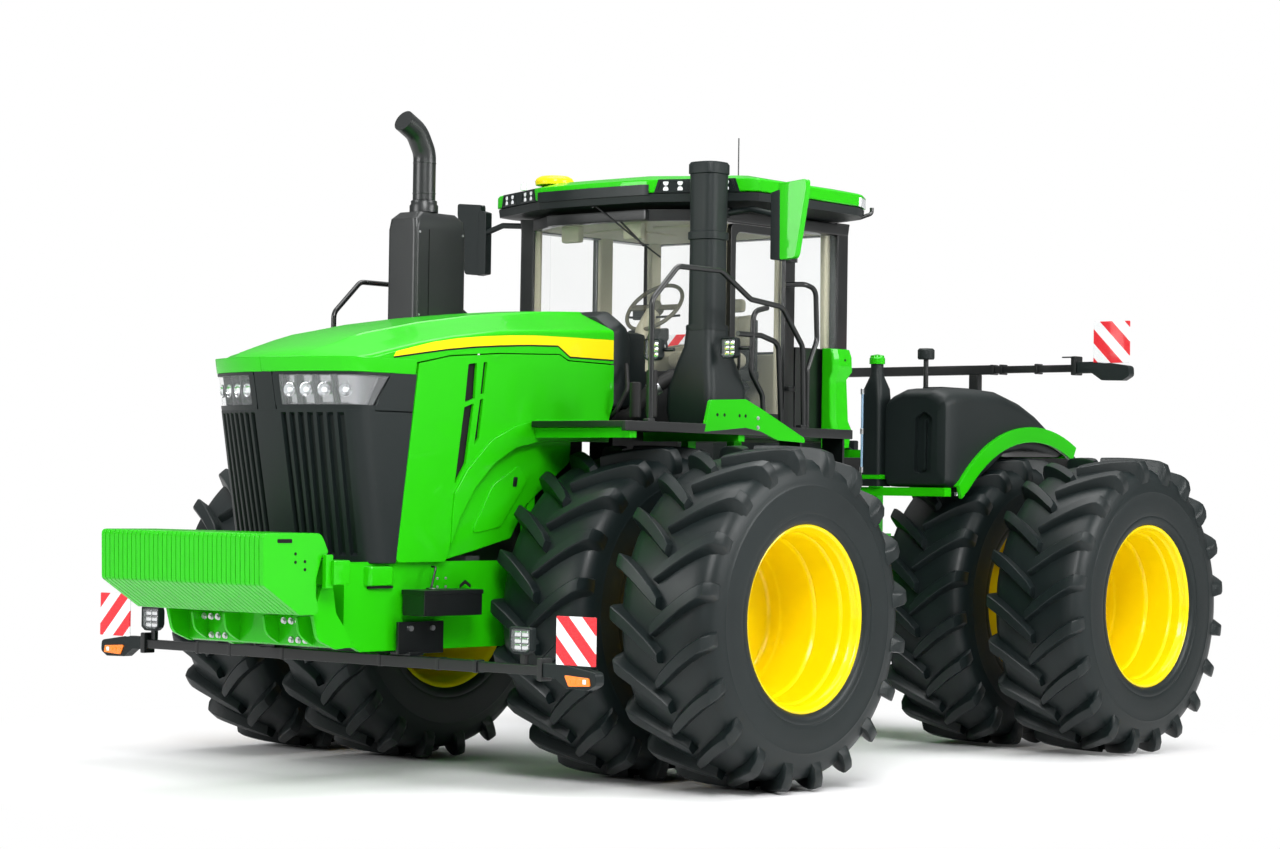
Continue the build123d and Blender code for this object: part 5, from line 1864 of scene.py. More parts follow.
def wall(outline, start, end, inset=0.0, depth=0.02, soft=0.004):
    """A panel that stands between two plan points. Its outline is (along, Z)."""
    start, end = Vector((start[0], HINGE + start[1], 0)), Vector((end[0], HINGE + end[1], 0))
    ahead = (end - start).normalized()
    outward = Vector((-ahead.y, ahead.x, 0)) * -1
    if outward.dot(start - Vector((0, HINGE - 0.5, 0))) < 0:
        outward = -outward
    shape = plate(outline, "Y", 0.0, depth, soft)
    frame_axes = Matrix((ahead, -outward, Vector((0, 0, 1)))).transposed().to_4x4()
    place = Matrix.Translation(start - outward * inset) @ frame_axes
    bmesh.ops.transform(shape, matrix=place, verts=shape.verts)
    bmesh.ops.recalc_face_normals(shape, faces=shape.faces)
    return shape


class TRACTOR_OT_cab(bpy.types.Operator):
    """Cab posts, rails, panels and inner trim"""

    bl_idname = "tractor.cab"
    bl_label = "Cab frame"

    def execute(self, context):
        piece = Piece("cab_posts")
        for side in SIDES:
            front = ((side * 0.79, -1.115), (side * 0.80, -1.10))
            piece.add(post(*front, 0.05, 0.10, side * 58), "black_steel")
            trim = ((side * 0.755, -1.07), (side * 0.765, -1.055))
            piece.add(post(*trim, 0.045, 0.075, side * 58, 2.2, 3.56), "cab_trim")
            middle = ((side * 0.835, -0.315), (side * 0.835, -0.315))
            piece.add(post(*middle, 0.055, 0.11, 0), "black_steel")
            trim = ((side * 0.785, -0.315), (side * 0.785, -0.315))
            piece.add(post(*trim, 0.04, 0.13, 0, 2.2, 3.56), "cab_trim")
            rear = ((side * 0.835, 0.255), (side * 0.835, 0.255))
            piece.add(post(*rear, 0.07, 0.13, 0), "black_steel")
            trim = ((side * 0.775, 0.215), (side * 0.775, 0.20))
            piece.add(post(*trim, 0.05, 0.11, 0, 2.2, 3.56), "cab_trim")
            piece.add(
                hinge_block((side * 0.79, side * 0.878), (-1.05, 0.31), (2.13, PANEL_LOW), 0.015),
                "black_steel"
            )
            piece.add(
                hinge_block((side * 0.77, side * 0.875), (-1.04, 0.31), (3.535, HEADER_TOP), 0.015),
                "black_steel"
            )
            low = ((-0.26, PANEL_LOW), (0.31, PANEL_LOW), (0.31, 2.755), (-0.26, 2.755))
            piece.add(side_sheet(rounded(low, 0.01), 0.835, PANEL_X, side), "black_steel")
            piece.add(side_sheet(rounded(low, 0.01), 0.80, 0.833, side), "cab_trim")
            run = math.hypot(0.455, 0.257)
            lower = ((0.02, 2.20), (run, 2.20), (run, SILL_Z, 0.03), (0.02, SILL_Z, 0.03))
            piece.add(
                wall(rounded(lower, 0.01), (side * 0.42, -1.325), (side * 0.855, -1.07), 0.022, 0.03),
                "black_steel"
            )
            head = ((-0.02, LINTEL_Z), (run, LINTEL_Z), (run, HEADER_TOP), (-0.02, HEADER_TOP))
            piece.add(
                wall(rounded(head, 0.005), (side * 0.42, -1.325), (side * 0.855, -1.07), 0.022, 0.05),
                "black_steel"
            )
        piece.add(hinge_block((-0.44, 0.44), (-1.325, -1.28), (2.18, SILL_Z), 0.015), "black_steel")
        piece.add(hinge_block((-0.44, 0.44), (-1.325, -1.26), (LINTEL_Z, HEADER_TOP), 0.015), "black_steel")
        piece.add(hinge_block((-0.85, 0.85), (0.285, 0.328), (2.13, 2.76), 0.012), "black_steel")
        piece.add(hinge_block((-0.83, 0.83), (0.25, 0.284), (2.2, 2.74), 0.012), "cab_trim")
        piece.add(hinge_block((-0.85, 0.85), (0.26, 0.328), (LINTEL_Z, HEADER_TOP), 0.015), "black_steel")
        low = ((-0.97, PANEL_LOW), (-0.36, PANEL_LOW), (-0.36, 2.30), (-0.97, 2.30))
        piece.add(side_sheet(rounded(low, 0.01), 0.83, PANEL_X, -1), "black_steel")
        floor = [(-0.42, -1.27), (0.42, -1.27), (0.81, -1.02), (0.82, 0.27), (-0.82, 0.27), (-0.81, -1.02)]
        floor = from_hinge_plan(floor)
        piece.add(plate(floor, "Z", 2.125, FLOOR_Z + 0.008, 0.004), "cab_floor")
        lining = rounded(
            [(-0.40, -1.24), (0.40, -1.24), (0.78, -1.0), (0.80, 0.24), (-0.80, 0.24), (-0.78, -1.0)], 0.06
        )
        lining = from_hinge_plan(lining)
        piece.add(plate(lining, "Z", 3.545, 3.60, 0.02), "cab_trim")
        dome = rounded([(0.12, -0.92), (0.62, -0.80), (0.62, -0.30), (0.12, -0.30)], 0.06)
        for side in SIDES:
            pad = [(side * x, HINGE + y) for x, y in dome]
            piece.add(plate(pad, "Z", 3.53, 3.55, 0.008), "cab_trim")
        for x in (-0.45, 0.10):
            piece.add(hinge_block((x, x + 0.16), (-1.16, -1.10), (3.44, 3.55), 0.02), "cab_trim")
        piece.finish("front_frame", "black_paint", ["cab_frame"])
        return {"FINISHED"}


class TRACTOR_OT_windows(bpy.types.Operator):
    """Fixed panes"""

    bl_idname = "tractor.windows"
    bl_label = "Windows"

    def execute(self, context):
        piece = Piece("fixed_panes")
        run = math.hypot(0.435, 0.255)
        screen = rounded(
            [
                (-0.415, SILL_Z + 0.001), (0.415, SILL_Z + 0.001), (0.415, LINTEL_Z - 0.001),
                (-0.415, LINTEL_Z - 0.001)
            ],
            0.01
        )
        piece.add(plate(screen, "Y", HINGE - 1.303, HINGE - 1.298, 0.0), "window")
        for side in SIDES:
            quarter = rounded(
                [
                    (0.025, SILL_Z + 0.001), (run - 0.04, SILL_Z + 0.001), (run - 0.04, LINTEL_Z - 0.001),
                    (0.025, LINTEL_Z - 0.001)
                ],
                0.01
            )
            piece.add(
                wall(quarter, (side * 0.42, -1.325), (side * 0.855, -1.07), 0.03, 0.005, 0.0), "window"
            )
            rear = rounded([(-0.257, 2.757), (0.185, 2.757), (0.185, 3.533), (-0.257, 3.533)], 0.03)
            piece.add(side_sheet(rear, 0.85, 0.855, side, 0.0), "window")
        right = rounded([(-1.03, 2.302), (-0.372, 2.302), (-0.372, 3.533), (-1.0, 3.533)], 0.03)
        piece.add(side_sheet(right, 0.85, 0.855, -1, 0.0), "window")
        back = rounded([(-0.79, 2.762), (0.79, 2.762), (0.79, 3.538), (-0.79, 3.538)], 0.03)
        piece.add(plate(back, "Y", HINGE + 0.30, HINGE + 0.305, 0.0), "window")
        piece.finish("front_frame", "clear_glass", ["cab_glass"])
        return {"FINISHED"}


def ring_frame(outline, inner, axis, low, high, soft=0.004):
    """A flat frame between two outlines with the same number of points."""
    shape = bmesh.new()
    low, high = spanned(low, high)

    def corner(first, second, depth):
        if axis == "X":
            return (depth, first, second)
        if axis == "Y":
            return (first, depth, second)
        return (first, second, depth)

    layers = [
        [shape.verts.new(corner(a, b, level)) for a, b in edge]
        for level in (low, high)
        for edge in (outline, inner)
    ]
    count = len(outline)
    pairs = ((0, 1), (2, 3), (0, 2), (1, 3))
    for index in range(count):
        after = (index + 1) % count
        for one, two in pairs:
            shape.faces.new(
                (layers[one][index], layers[one][after], layers[two][after], layers[two][index])
            )
    bmesh.ops.recalc_face_normals(shape, faces=shape.faces)
    return soften(shape, soft, 2)


class TRACTOR_OT_door(bpy.types.Operator):
    """Left door with its pane, hinges and handle"""

    bl_idname = "tractor.door"
    bl_label = "Door"

    def execute(self, context):
        piece = Piece("door_frame")
        outer = rounded(
            from_hinge(
                [(-0.975, 2.23, 0.04), (-0.338, 2.23, 0.04), (-0.338, 3.53, 0.05), (-0.975, 3.53, 0.05)]
            ),
            0.05, 5
        )
        inner = rounded(
            from_hinge(
                [(-0.922, 2.30, 0.05), (-0.393, 2.30, 0.05), (-0.393, 3.478, 0.06), (-0.922, 3.478, 0.06)]
            ),
            0.06, 5
        )
        piece.add(ring_frame(outer, inner, "X", 0.842, 0.878), "black_steel")
        piece.add(ring_frame(outer, inner, "X", 0.838, 0.8425, 0.0), "cab_trim")
        for z in (2.42, 3.28):
            piece.add(
                hinge_block((0.878, 0.912), (-0.385, -0.325), (z + 0.036, z + 0.066), 0.006), "black_steel"
            )
            piece.add(
                rod((0.905, HINGE - 0.32, z + 0.034), (0.905, HINGE - 0.32, z + 0.068), 0.0125),
                "black_steel"
            )
        grip = [
            (0.876, HINGE - 0.90, 2.56), (0.896, HINGE - 0.90, 2.60), (0.896, HINGE - 0.90, 2.70),
            (0.876, HINGE - 0.90, 2.74)
        ]
        piece.add(pipe(grip, 0.011, 0.02, 10), "black_steel")
        piece.finish("door", "black_paint", ["cab_door"])
        glass = Piece("door_pane")
        pane = rounded(
            from_hinge([(-0.923, 2.297), (-0.392, 2.297), (-0.392, 3.478), (-0.923, 3.478)]), 0.055, 5
        )
        glass.add(plate(pane, "X", 0.856, 0.861, 0.0), "window")
        glass.finish("door", "clear_glass", ["door_glass"])
        return {"FINISHED"}


CHAMFER = ((0.50, -1.345), (1.10, -1.085))  # inner and outer end of the roof's front corner
ROOF_EDGE_Z = 3.712  # foot of the painted shell
ROOF_HALF = (
    (0.0, -1.385), (0.44, -1.368), (0.50, -1.345), (1.10, -1.085), (1.155, -1.035), (1.140, -0.45),
    (1.110, 0.100), (1.075, 0.200), (0.985, 0.350), (0.930, 0.395), (0.780, 0.425), (0.0, 0.430)
)


def roof_ring(shrink, z, lift=0.0):
    """The roof's plan, drawn in by a distance."""
    centre = Vector((0.0, -0.48))
    ring = []
    outline = list(ROOF_HALF) + [(-x, y) for x, y in ROOF_HALF[-2:0:-1]]
    for x, y in outline:
        spot = Vector((x, y))
        inward = (centre - spot).normalized() * shrink
        spot += inward * (1.35 if abs(x) > 0.9 else 1.0)
        rise = lift * (1 - (x / 1.16) ** 2)
        ring.append((spot.x, HINGE + spot.y, z + rise))
    return ring


def chamfer_spot(side, along, depth, z, middle=0.0):
    """A point on the roof's front chamfer, or proud of it by a depth, counted from a middle."""
    start, end = Vector(CHAMFER[0]), Vector(CHAMFER[1])
    ahead = (end - start).normalized()
    outward = Vector((ahead.y, -ahead.x))
    flat = start + ahead * middle + ahead * along + outward * depth
    return Vector((side * flat.x, HINGE + flat.y, z))


def led_box(side, along, low, high, width):
    """A recessed four-lamp unit in the roof's front chamfer: its surround and its lamps."""
    shapes = []

    def spot(a, depth, z):
        return chamfer_spot(side, a, depth, z, along)

    half = width / 2
    rings = []
    for shrink, depth in ((0.0, -0.004), (0.0, 0.004), (0.010, 0.006), (0.014, -0.012)):
        rings.append([
            spot(-half + shrink, depth, low + shrink),
            spot(half - shrink, depth, low + shrink),
            spot(half - shrink - 0.02, depth, high - shrink),
            spot(-half + shrink + 0.02, depth, high - shrink),
        ])
    frame_shape = skin(rings, capped=False)
    frame_shape.faces.new([vertex for vertex in frame_shape.verts[-4:]])
    bmesh.ops.recalc_face_normals(frame_shape, faces=frame_shape.faces)
    shapes.append((frame_shape, "fine_plastic"))
    middle_z = (low + high) / 2
    for a in (-half * 0.42, half * 0.42):
        for dz in (-0.26, 0.26):
            z = middle_z + dz * (high - low)
            centre = spot(a, -0.003, z)
            outer = spot(a, 0.004, z)
            shapes.append((rod(centre, outer, (high - low) * 0.23, 12, 0.002), "lamp_white"))
    return shapes


class TRACTOR_OT_roof(bpy.types.Operator):
    """Roof shell, dark visor, lamps, receivers and wiper"""

    bl_idname = "tractor.roof"
    bl_label = "Roof"

    def execute(self, context):
        piece = Piece("roof_shell")
        rings = [
            roof_ring(0.045, ROOF_EDGE_Z), roof_ring(0.004, 3.716), roof_ring(0.0, 3.722),
            roof_ring(0.0, 3.790), roof_ring(0.006, 3.800), roof_ring(0.130, 3.832, 0.004),
            roof_ring(0.200, 3.838, 0.008)
        ]
        piece.add(skin(rings), "body_paint")
        under = [
            roof_ring(0.30, 3.621), roof_ring(0.22, 3.624), roof_ring(0.08, 3.640), roof_ring(0.012, 3.655),
            roof_ring(0.006, 3.708), roof_ring(0.04, 3.716)
        ]
        piece.add(skin(under), "black_plastic")
        for side in SIDES:
            plate_edge = ((0.02, ROOF_EDGE_Z), (0.60, ROOF_EDGE_Z), (0.57, 3.800), (0.05, 3.800))
            panel, back = (
                [chamfer_spot(side, a, depth, z) for a, z in plate_edge]
                for depth in (0.0015, -0.02)
            )
            piece.add(skin([panel, back]), "fine_plastic")
            for along in (0.15, 0.46):
                for shape, finish in led_box(side, along, 3.716, 3.796, 0.23):
                    piece.add(shape, finish)
            corner = rounded([(1.03, 0.29), (1.115, 0.12), (1.10, 0.10), (1.01, 0.28)], 0.01)
            corner = [(side * x, HINGE + y) for x, y in corner]
            piece.add(plate(corner, "Z", 3.716, 3.776, 0.006), "lamp_white")
            lamp = [
                (side * 0.98, HINGE + 0.30, 3.66), (side * 1.03, HINGE + 0.36, 3.69),
                (side * 1.03, HINGE + 0.36, 3.73)
            ]
            piece.add(pipe(lamp, 0.014, 0.03, 10), "black_steel")
        visor = [(-0.49, -1.354), (-0.44, -1.3725), (0.0, -1.3895), (0.44, -1.3725), (0.49, -1.354),
                 (0.44, -1.34), (0.0, -1.36), (-0.44, -1.34)]
        piece.add(plate(from_hinge_plan(visor), "Z", 3.70, 3.768, 0.002), "fine_plastic")
        for x in (-0.25, 0.2):
            piece.add(hinge_block((x, x + 0.05), (-1.352, -1.335), (3.655, 3.675), 0.004), "lamp_white")
        piece.finish("front_frame", "green_paint", ["cab_roof"])
        tops = Piece("roof_tops")
        dome = [(3.84, 0.128), (3.865, 0.132), (3.885, 0.122), (3.90, 0.095), (3.903, 0.0)]
        tops.add(turned([(3.83, 0.0)] + dome, (-0.55, HINGE - 1.12, 0), "Z", 48), "wheel_paint")
        tops.add(turned([(3.83, 0.0), (3.84, 0.088), (3.875, 0.085), (3.90, 0.065), (3.908, 0.0)],
                        (0.15, HINGE, 0), "Z", 40), "fine_plastic")
        tops.add(rod((0.15, HINGE, 3.9), (0.15, HINGE, 4.229), 0.0045, 8), "black_steel")
        tops.add(
            turned(
                [(3.83, 0.0), (3.835, 0.02), (3.88, 0.018), (3.885, 0.0)], (-0.9, HINGE - 1.05, 0), "Z", 16
            ),
            "lamp_white"
        )
        tops.finish("front_frame", "yellow_paint", ["roof_receivers"], 40.0)
        wiper = Piece("wiper")
        wiper.add(rod((0.0, HINGE - 1.32, 3.665), (0.0, HINGE - 1.345, 3.665), 0.022, 16), "black_steel")
        wiper.add(
            pipe(
                [(0.0, HINGE - 1.338, 3.665), (0.30, HINGE - 1.318, 3.46), (0.52, HINGE - 1.26, 3.30)],
                0.006, 0.05, 8
            ),
            "black_steel"
        )
        wiper.add(
            pipe(
                [(0.17, HINGE - 1.309, 3.58), (0.40, HINGE - 1.309, 3.39), (0.415, HINGE - 1.309, 3.375)],
                0.007, 0.05, 6
            ),
            "hose_rubber"
        )
        wiper.finish("front_frame", "black_plastic")
        return {"FINISHED"}


class TRACTOR_OT_mirrors(bpy.types.Operator):
    """Outside mirrors on their arms"""

    bl_idname = "tractor.mirrors"
    bl_label = "Mirrors"

    def execute(self, context):
        piece = Piece("mirrors_pair")
        for side in SIDES:
            face = rounded([
                (side * 1.31, 3.755, 0.01),
                (side * 1.535, 3.775, 0.02),
                (side * 1.535, 3.70, 0.02),
                (side * 1.455, 3.275, 0.03),
                (side * 1.33, 3.265, 0.02),
            ], 0.03)
            cover = "body_paint" if side > 0 else "black_plastic"
            piece.add(plate(face, "Y", HINGE - 1.045, HINGE - 1.03, 0.004), cover)
            rings = []
            middle = Vector((side * 1.405, 3.50))
            for share, depth in ((0.86, -1.036), (0.97, -1.032), (1.0, -0.998), (0.94, -0.988)):
                rings.append(
                    [
                        (
                            middle.x + (a - middle.x) * share, HINGE + depth,
                            middle.y + (b - middle.y) * share
                        ) for a,
                        b in face
                    ]
                )
            piece.add(skin(rings), cover)
            glass = [(middle.x + (a - middle.x) * 0.86, middle.y + (b - middle.y) * 0.93) for a, b in face]
            piece.add(plate(glass, "Y", HINGE - 0.989, HINGE - 0.984, 0.001), "mirror")
            edge = rounded(
                [(side * 1.255, 3.70), (side * 1.330, 3.72), (side * 1.335, 3.26), (side * 1.255, 3.27)],
                0.012
            )
            piece.add(plate(edge, "Y", HINGE - 1.048, HINGE - 0.985, 0.01), "black_plastic")
            arm = [
                (side * 0.86, HINGE - 1.03, 3.585), (side * 1.10, HINGE - 1.04, 3.60),
                (side * 1.31, HINGE - 1.02, 3.55)
            ]
            piece.add(pipe(arm, 0.02, 0.06, 14), "black_plastic")
            piece.add(
                rod((side * 0.88, HINGE - 1.04, 3.56), (side * 0.88, HINGE - 1.04, 3.62), 0.03, 20, 0.004),
                "black_plastic"
            )
        piece.finish("front_frame", "black_plastic", ["mirrors"])
        return {"FINISHED"}


# Inside the cab ---------------------------------------------------------------------------------


class TRACTOR_OT_controls(bpy.types.Operator):
    """Steering wheel, column, console, armrest and display"""

    bl_idname = "tractor.controls"
    bl_label = "Controls"

    def execute(self, context):
        piece = Piece("cab_console")
        wheel = []
        for index in range(48):
            angle = FULL_TURN * index / 48
            wheel.append((0.212 * math.cos(angle), 0.212 * math.sin(angle), 0.0))
        rings = []
        for point in wheel:
            outward = Vector(point).normalized()
            rings.append([
                Vector(point) + outward * 0.014 * math.cos(FULL_TURN * step / 12)
                + Vector((0, 0, 1)) * 0.014 * math.sin(FULL_TURN * step / 12)
                for step in range(12)
            ])
        rings.append(rings[0])
        rim = skin(rings, capped=False)
        bmesh.ops.remove_doubles(rim, verts=rim.verts, dist=0.0001)
        place = Matrix.Translation((0.0, HINGE - 0.70, 3.02)) @ Matrix.Rotation(math.radians(48), 4, "X")
        for shape in (
            rim, block((-0.205, 0.205), (-0.022, 0.022), (-0.012, 0.006), 0.008),
            block((-0.02, 0.02), (-0.205, 0.0), (-0.012, 0.006), 0.008),
            turned(
                [(-0.05, 0.0), (-0.05, 0.045), (0.012, 0.055), (0.02, 0.04), (0.02, 0.0)], (0, 0, 0), "Z",
                24
            )
        ):
            bmesh.ops.transform(shape, matrix=place, verts=shape.verts)
            piece.add(shape, "wheel_grip")
        column = [
            (0, HINGE - 0.72, 2.98), (0, HINGE - 0.82, 2.86), (0, HINGE - 0.93, 2.42),
            (0, HINGE - 0.94, 2.19)
        ]
        piece.add(pipe(column, 0.05, 0.08, 18, 5), "cab_trim")
        boot = rounded([(-0.13, -1.03), (0.13, -1.03), (0.11, -0.84), (-0.11, -0.84)], 0.03)
        base = [(x, HINGE + y, 2.188) for x, y in boot]
        top = [(x * 0.62, HINGE - 0.885 + (y + 0.94) * 0.5, 2.72) for x, y in boot]
        piece.add(skin([base, top]), "cab_trim")
        dash = rounded([(-0.92, 2.70), (-0.80, 2.86), (-0.72, 2.88), (-0.72, 2.80), (-0.86, 2.66)], 0.02)
        piece.add(plate(from_hinge(dash), "X", -0.15, 0.15, 0.01), "seat_base")
        for x in (-0.18, 0.16):
            stalk = [(x * 0.2, HINGE - 0.74, 2.95), (x, HINGE - 0.72, 2.955), (x * 1.4, HINGE - 0.70, 2.96)]
            piece.add(pipe(stalk, 0.008, 0.03, 8), "seat_base")
        arm = rounded(
            [(-0.38, 2.62), (-0.28, 2.76, 0.03), (0.10, 2.82, 0.03), (0.12, 2.66), (-0.30, 2.58)], 0.03
        )
        piece.add(plate(from_hinge(arm), "X", -0.425, -0.285, 0.015), "cab_trim")
        for number in range(3):
            x = -0.39 + number * 0.035
            lever = rod((x, HINGE - 0.18, 2.77), (x, HINGE - 0.2, 2.84), 0.009, 12, 0.003)
            piece.add(lever, "wheel_paint" if number == 1 else "seat_base")
        piece.add(rod((-0.34, HINGE - 0.30, 2.68), (-0.34, HINGE - 0.40, 3.0), 0.012), "seat_base")
        screen = hinge_block((-0.43, -0.23), (-0.43, -0.40), (2.96, 3.065), 0.01)
        piece.add(screen, "seat_base")
        piece.add(hinge_block((-0.42, -0.24), (-0.402, -0.398), (2.97, 3.055), 0.002), "display")
        piece.finish("front_frame", "trim_plastic", ["cab_controls"])
        return {"FINISHED"}


def applied(piece):
    """Makes what a piece's modifiers show its own mesh."""
    graph = bpy.context.evaluated_depsgraph_get()
    mesh = bpy.data.meshes.new_from_object(piece.evaluated_get(graph))
    piece.modifiers.clear()
    spent, piece.data = piece.data, mesh
    bpy.data.meshes.remove(spent)


def swell(piece, limit):
    """Lets a pad's cover fill out under pressure, by no more than the limit."""
    piece.modifiers.clear()
    even = piece.modifiers.new("Even mesh", "REMESH")
    even.mode = "VOXEL"
    even.voxel_size = 0.01
    applied(piece)
    before = [vertex.co.copy() for vertex in piece.data.vertices]
    cover = piece.modifiers.new("Cover", "CLOTH")
    cover.settings.use_pressure = True
    cover.settings.uniform_pressure_force = 4.0
    cover.settings.effector_weights.gravity = 0.0
    for number in range(1, 21):
        bpy.context.scene.frame_set(number)
    applied(piece)
    for vertex, start in zip(piece.data.vertices, before):
        moved = vertex.co - start
        if moved.length > limit:
            vertex.co = start + moved * (limit / moved.length)
    bpy.context.scene.frame_set(1)
    finer = piece.modifiers.new("Finer", "SUBSURF")
    finer.levels = finer.render_levels = 1
    applied(piece)


def sew(piece, places, axis=0, depth=0.005, width=0.007):
    """Draws the cover in along straight seams."""
    for vertex in piece.data.vertices:
        pull = sum(math.exp(-((vertex.co[axis] - place) / width) ** 2) for place in places)
        vertex.co -= vertex.normal * depth * pull


def pad(name, x, y, z, corner, limit, seams, replaces=()):
    """A stuffed pad within a box, with sewn seams along it."""
    room = limit * 0.8
    piece = Piece(name)
    piece.add(block((x[0] + room, x[1] - room), (HINGE + y[0] + room, HINGE + y[1] - room),
                    (z[0] + room, z[1] - room), corner, 4), "seat_cloth")
    made = piece.finish("front_frame", "seat_cloth", replaces)
    swell(made, limit)
    sew(made, seams)
    for face in made.data.polygons:
        face.use_smooth = True
    return made


class TRACTOR_OT_seat(bpy.types.Operator):
    """Driver's seat: pedestal, padded base, back and headrest"""

    bl_idname = "tractor.seat"
    bl_label = "Seat"

    def execute(self, context):
        piece = Piece("seat_frame")
        middle = HINGE - 0.06
        bellows = []
        for step in range(9):
            half = 0.19 if step % 2 else 0.165
            bellows.append(
                [
                    (x, middle + y, 2.19 + 0.045 * step) for x,
                    y in rounded_box(half * 2, half * 2.1, 0.04, 3)
                ]
            )
        piece.add(skin(bellows), "seat_base")
        piece.add(block((-0.24, 0.24), (middle - 0.24, middle + 0.22), (2.55, 2.625), 0.03), "seat_base")
        piece.add(hinge_block((-0.20, 0.20), (0.155, 0.185), (2.62, 2.98), 0.03), "seat_base")
        piece.finish("front_frame", "seat_cloth", ["seat"])
        pad("seat_cushion", (-0.25, 0.25), (-0.318, 0.06), (2.628, 2.745), 0.045, 0.014, (-0.13, 0.13))
        pad("seat_back", (-0.23, 0.23), (0.062, 0.152), (2.76, 3.02), 0.035, 0.010, (-0.12, 0.12))
        pad("seat_headrest", (-0.14, 0.14), (0.07, 0.145), (3.022, 3.128), 0.028, 0.008, ())
        return {"FINISHED"}


# Walkway ----------------------------------------------------------------------------------------


def rail(points, bend=0.08, radius=None):
    """A bent hand rail, with its route given about the hinge."""
    radius = radius or bpy.context.scene.tractor_sizes.rail_radius
    return pipe([(x, HINGE + y, z) for x, y, z in points], radius, bend, 14, 6)


RAIL_X = 1.385  # the outer hoops
DECK_TOP = 2.196
LEFT_RAILS = (
    # the outer hoop
    (
        (RAIL_X, -2.36, 2.205), (RAIL_X, -2.36, 2.93), (RAIL_X, -2.12, 3.15), (RAIL_X, -1.70, 3.15),
        (RAIL_X, -1.40, 2.99), (RAIL_X, -1.08, 2.96), (RAIL_X, -0.86, 2.72), (RAIL_X, -0.84, 2.205),
    ),
    # the inner hoop, in two tubes
    (
        (1.25, -1.06, 2.96), (1.25, -1.20, 2.93), (1.25, -1.22, 2.54), (1.25, -1.10, 2.40),
        (1.25, -1.08, 2.205),
    ),
    ((1.25, -1.36, 2.78), (1.25, -1.12, 2.78), (1.25, -0.94, 2.74), (1.25, -0.90, 2.205)),
    # the grab rail by the door
    (
        (0.915, -0.44, 3.16), (1.0, -0.34, 3.165), (1.0, -0.22, 3.14), (1.0, -0.20, 2.80), (1.0, -0.30, 2.60),
        (1.0, -0.30, 2.21),
    ),
)
RIGHT_RAILS = (
    (
        (-RAIL_X, -2.36, 2.205), (-RAIL_X, -2.36, 2.93), (-RAIL_X, -2.12, 3.15), (-RAIL_X, -1.40, 3.15),
        (-RAIL_X, -1.05, 2.96), (-RAIL_X, -0.86, 2.72), (-RAIL_X, -0.84, 2.205)
    ),
)
SKIRT = (
    (-1.86, 2.145, 0.0), (-1.80, 2.345, 0.02), (-1.45, 2.36, 0.05), (-1.28, 2.30, 0.02),
    (-0.84, 2.13, 0.02), (-0.84, 2.10, 0.0), (-1.12, 2.11, 0.02), (-1.30, 2.16, 0.06), (-1.45, 2.18, 0.04)
)


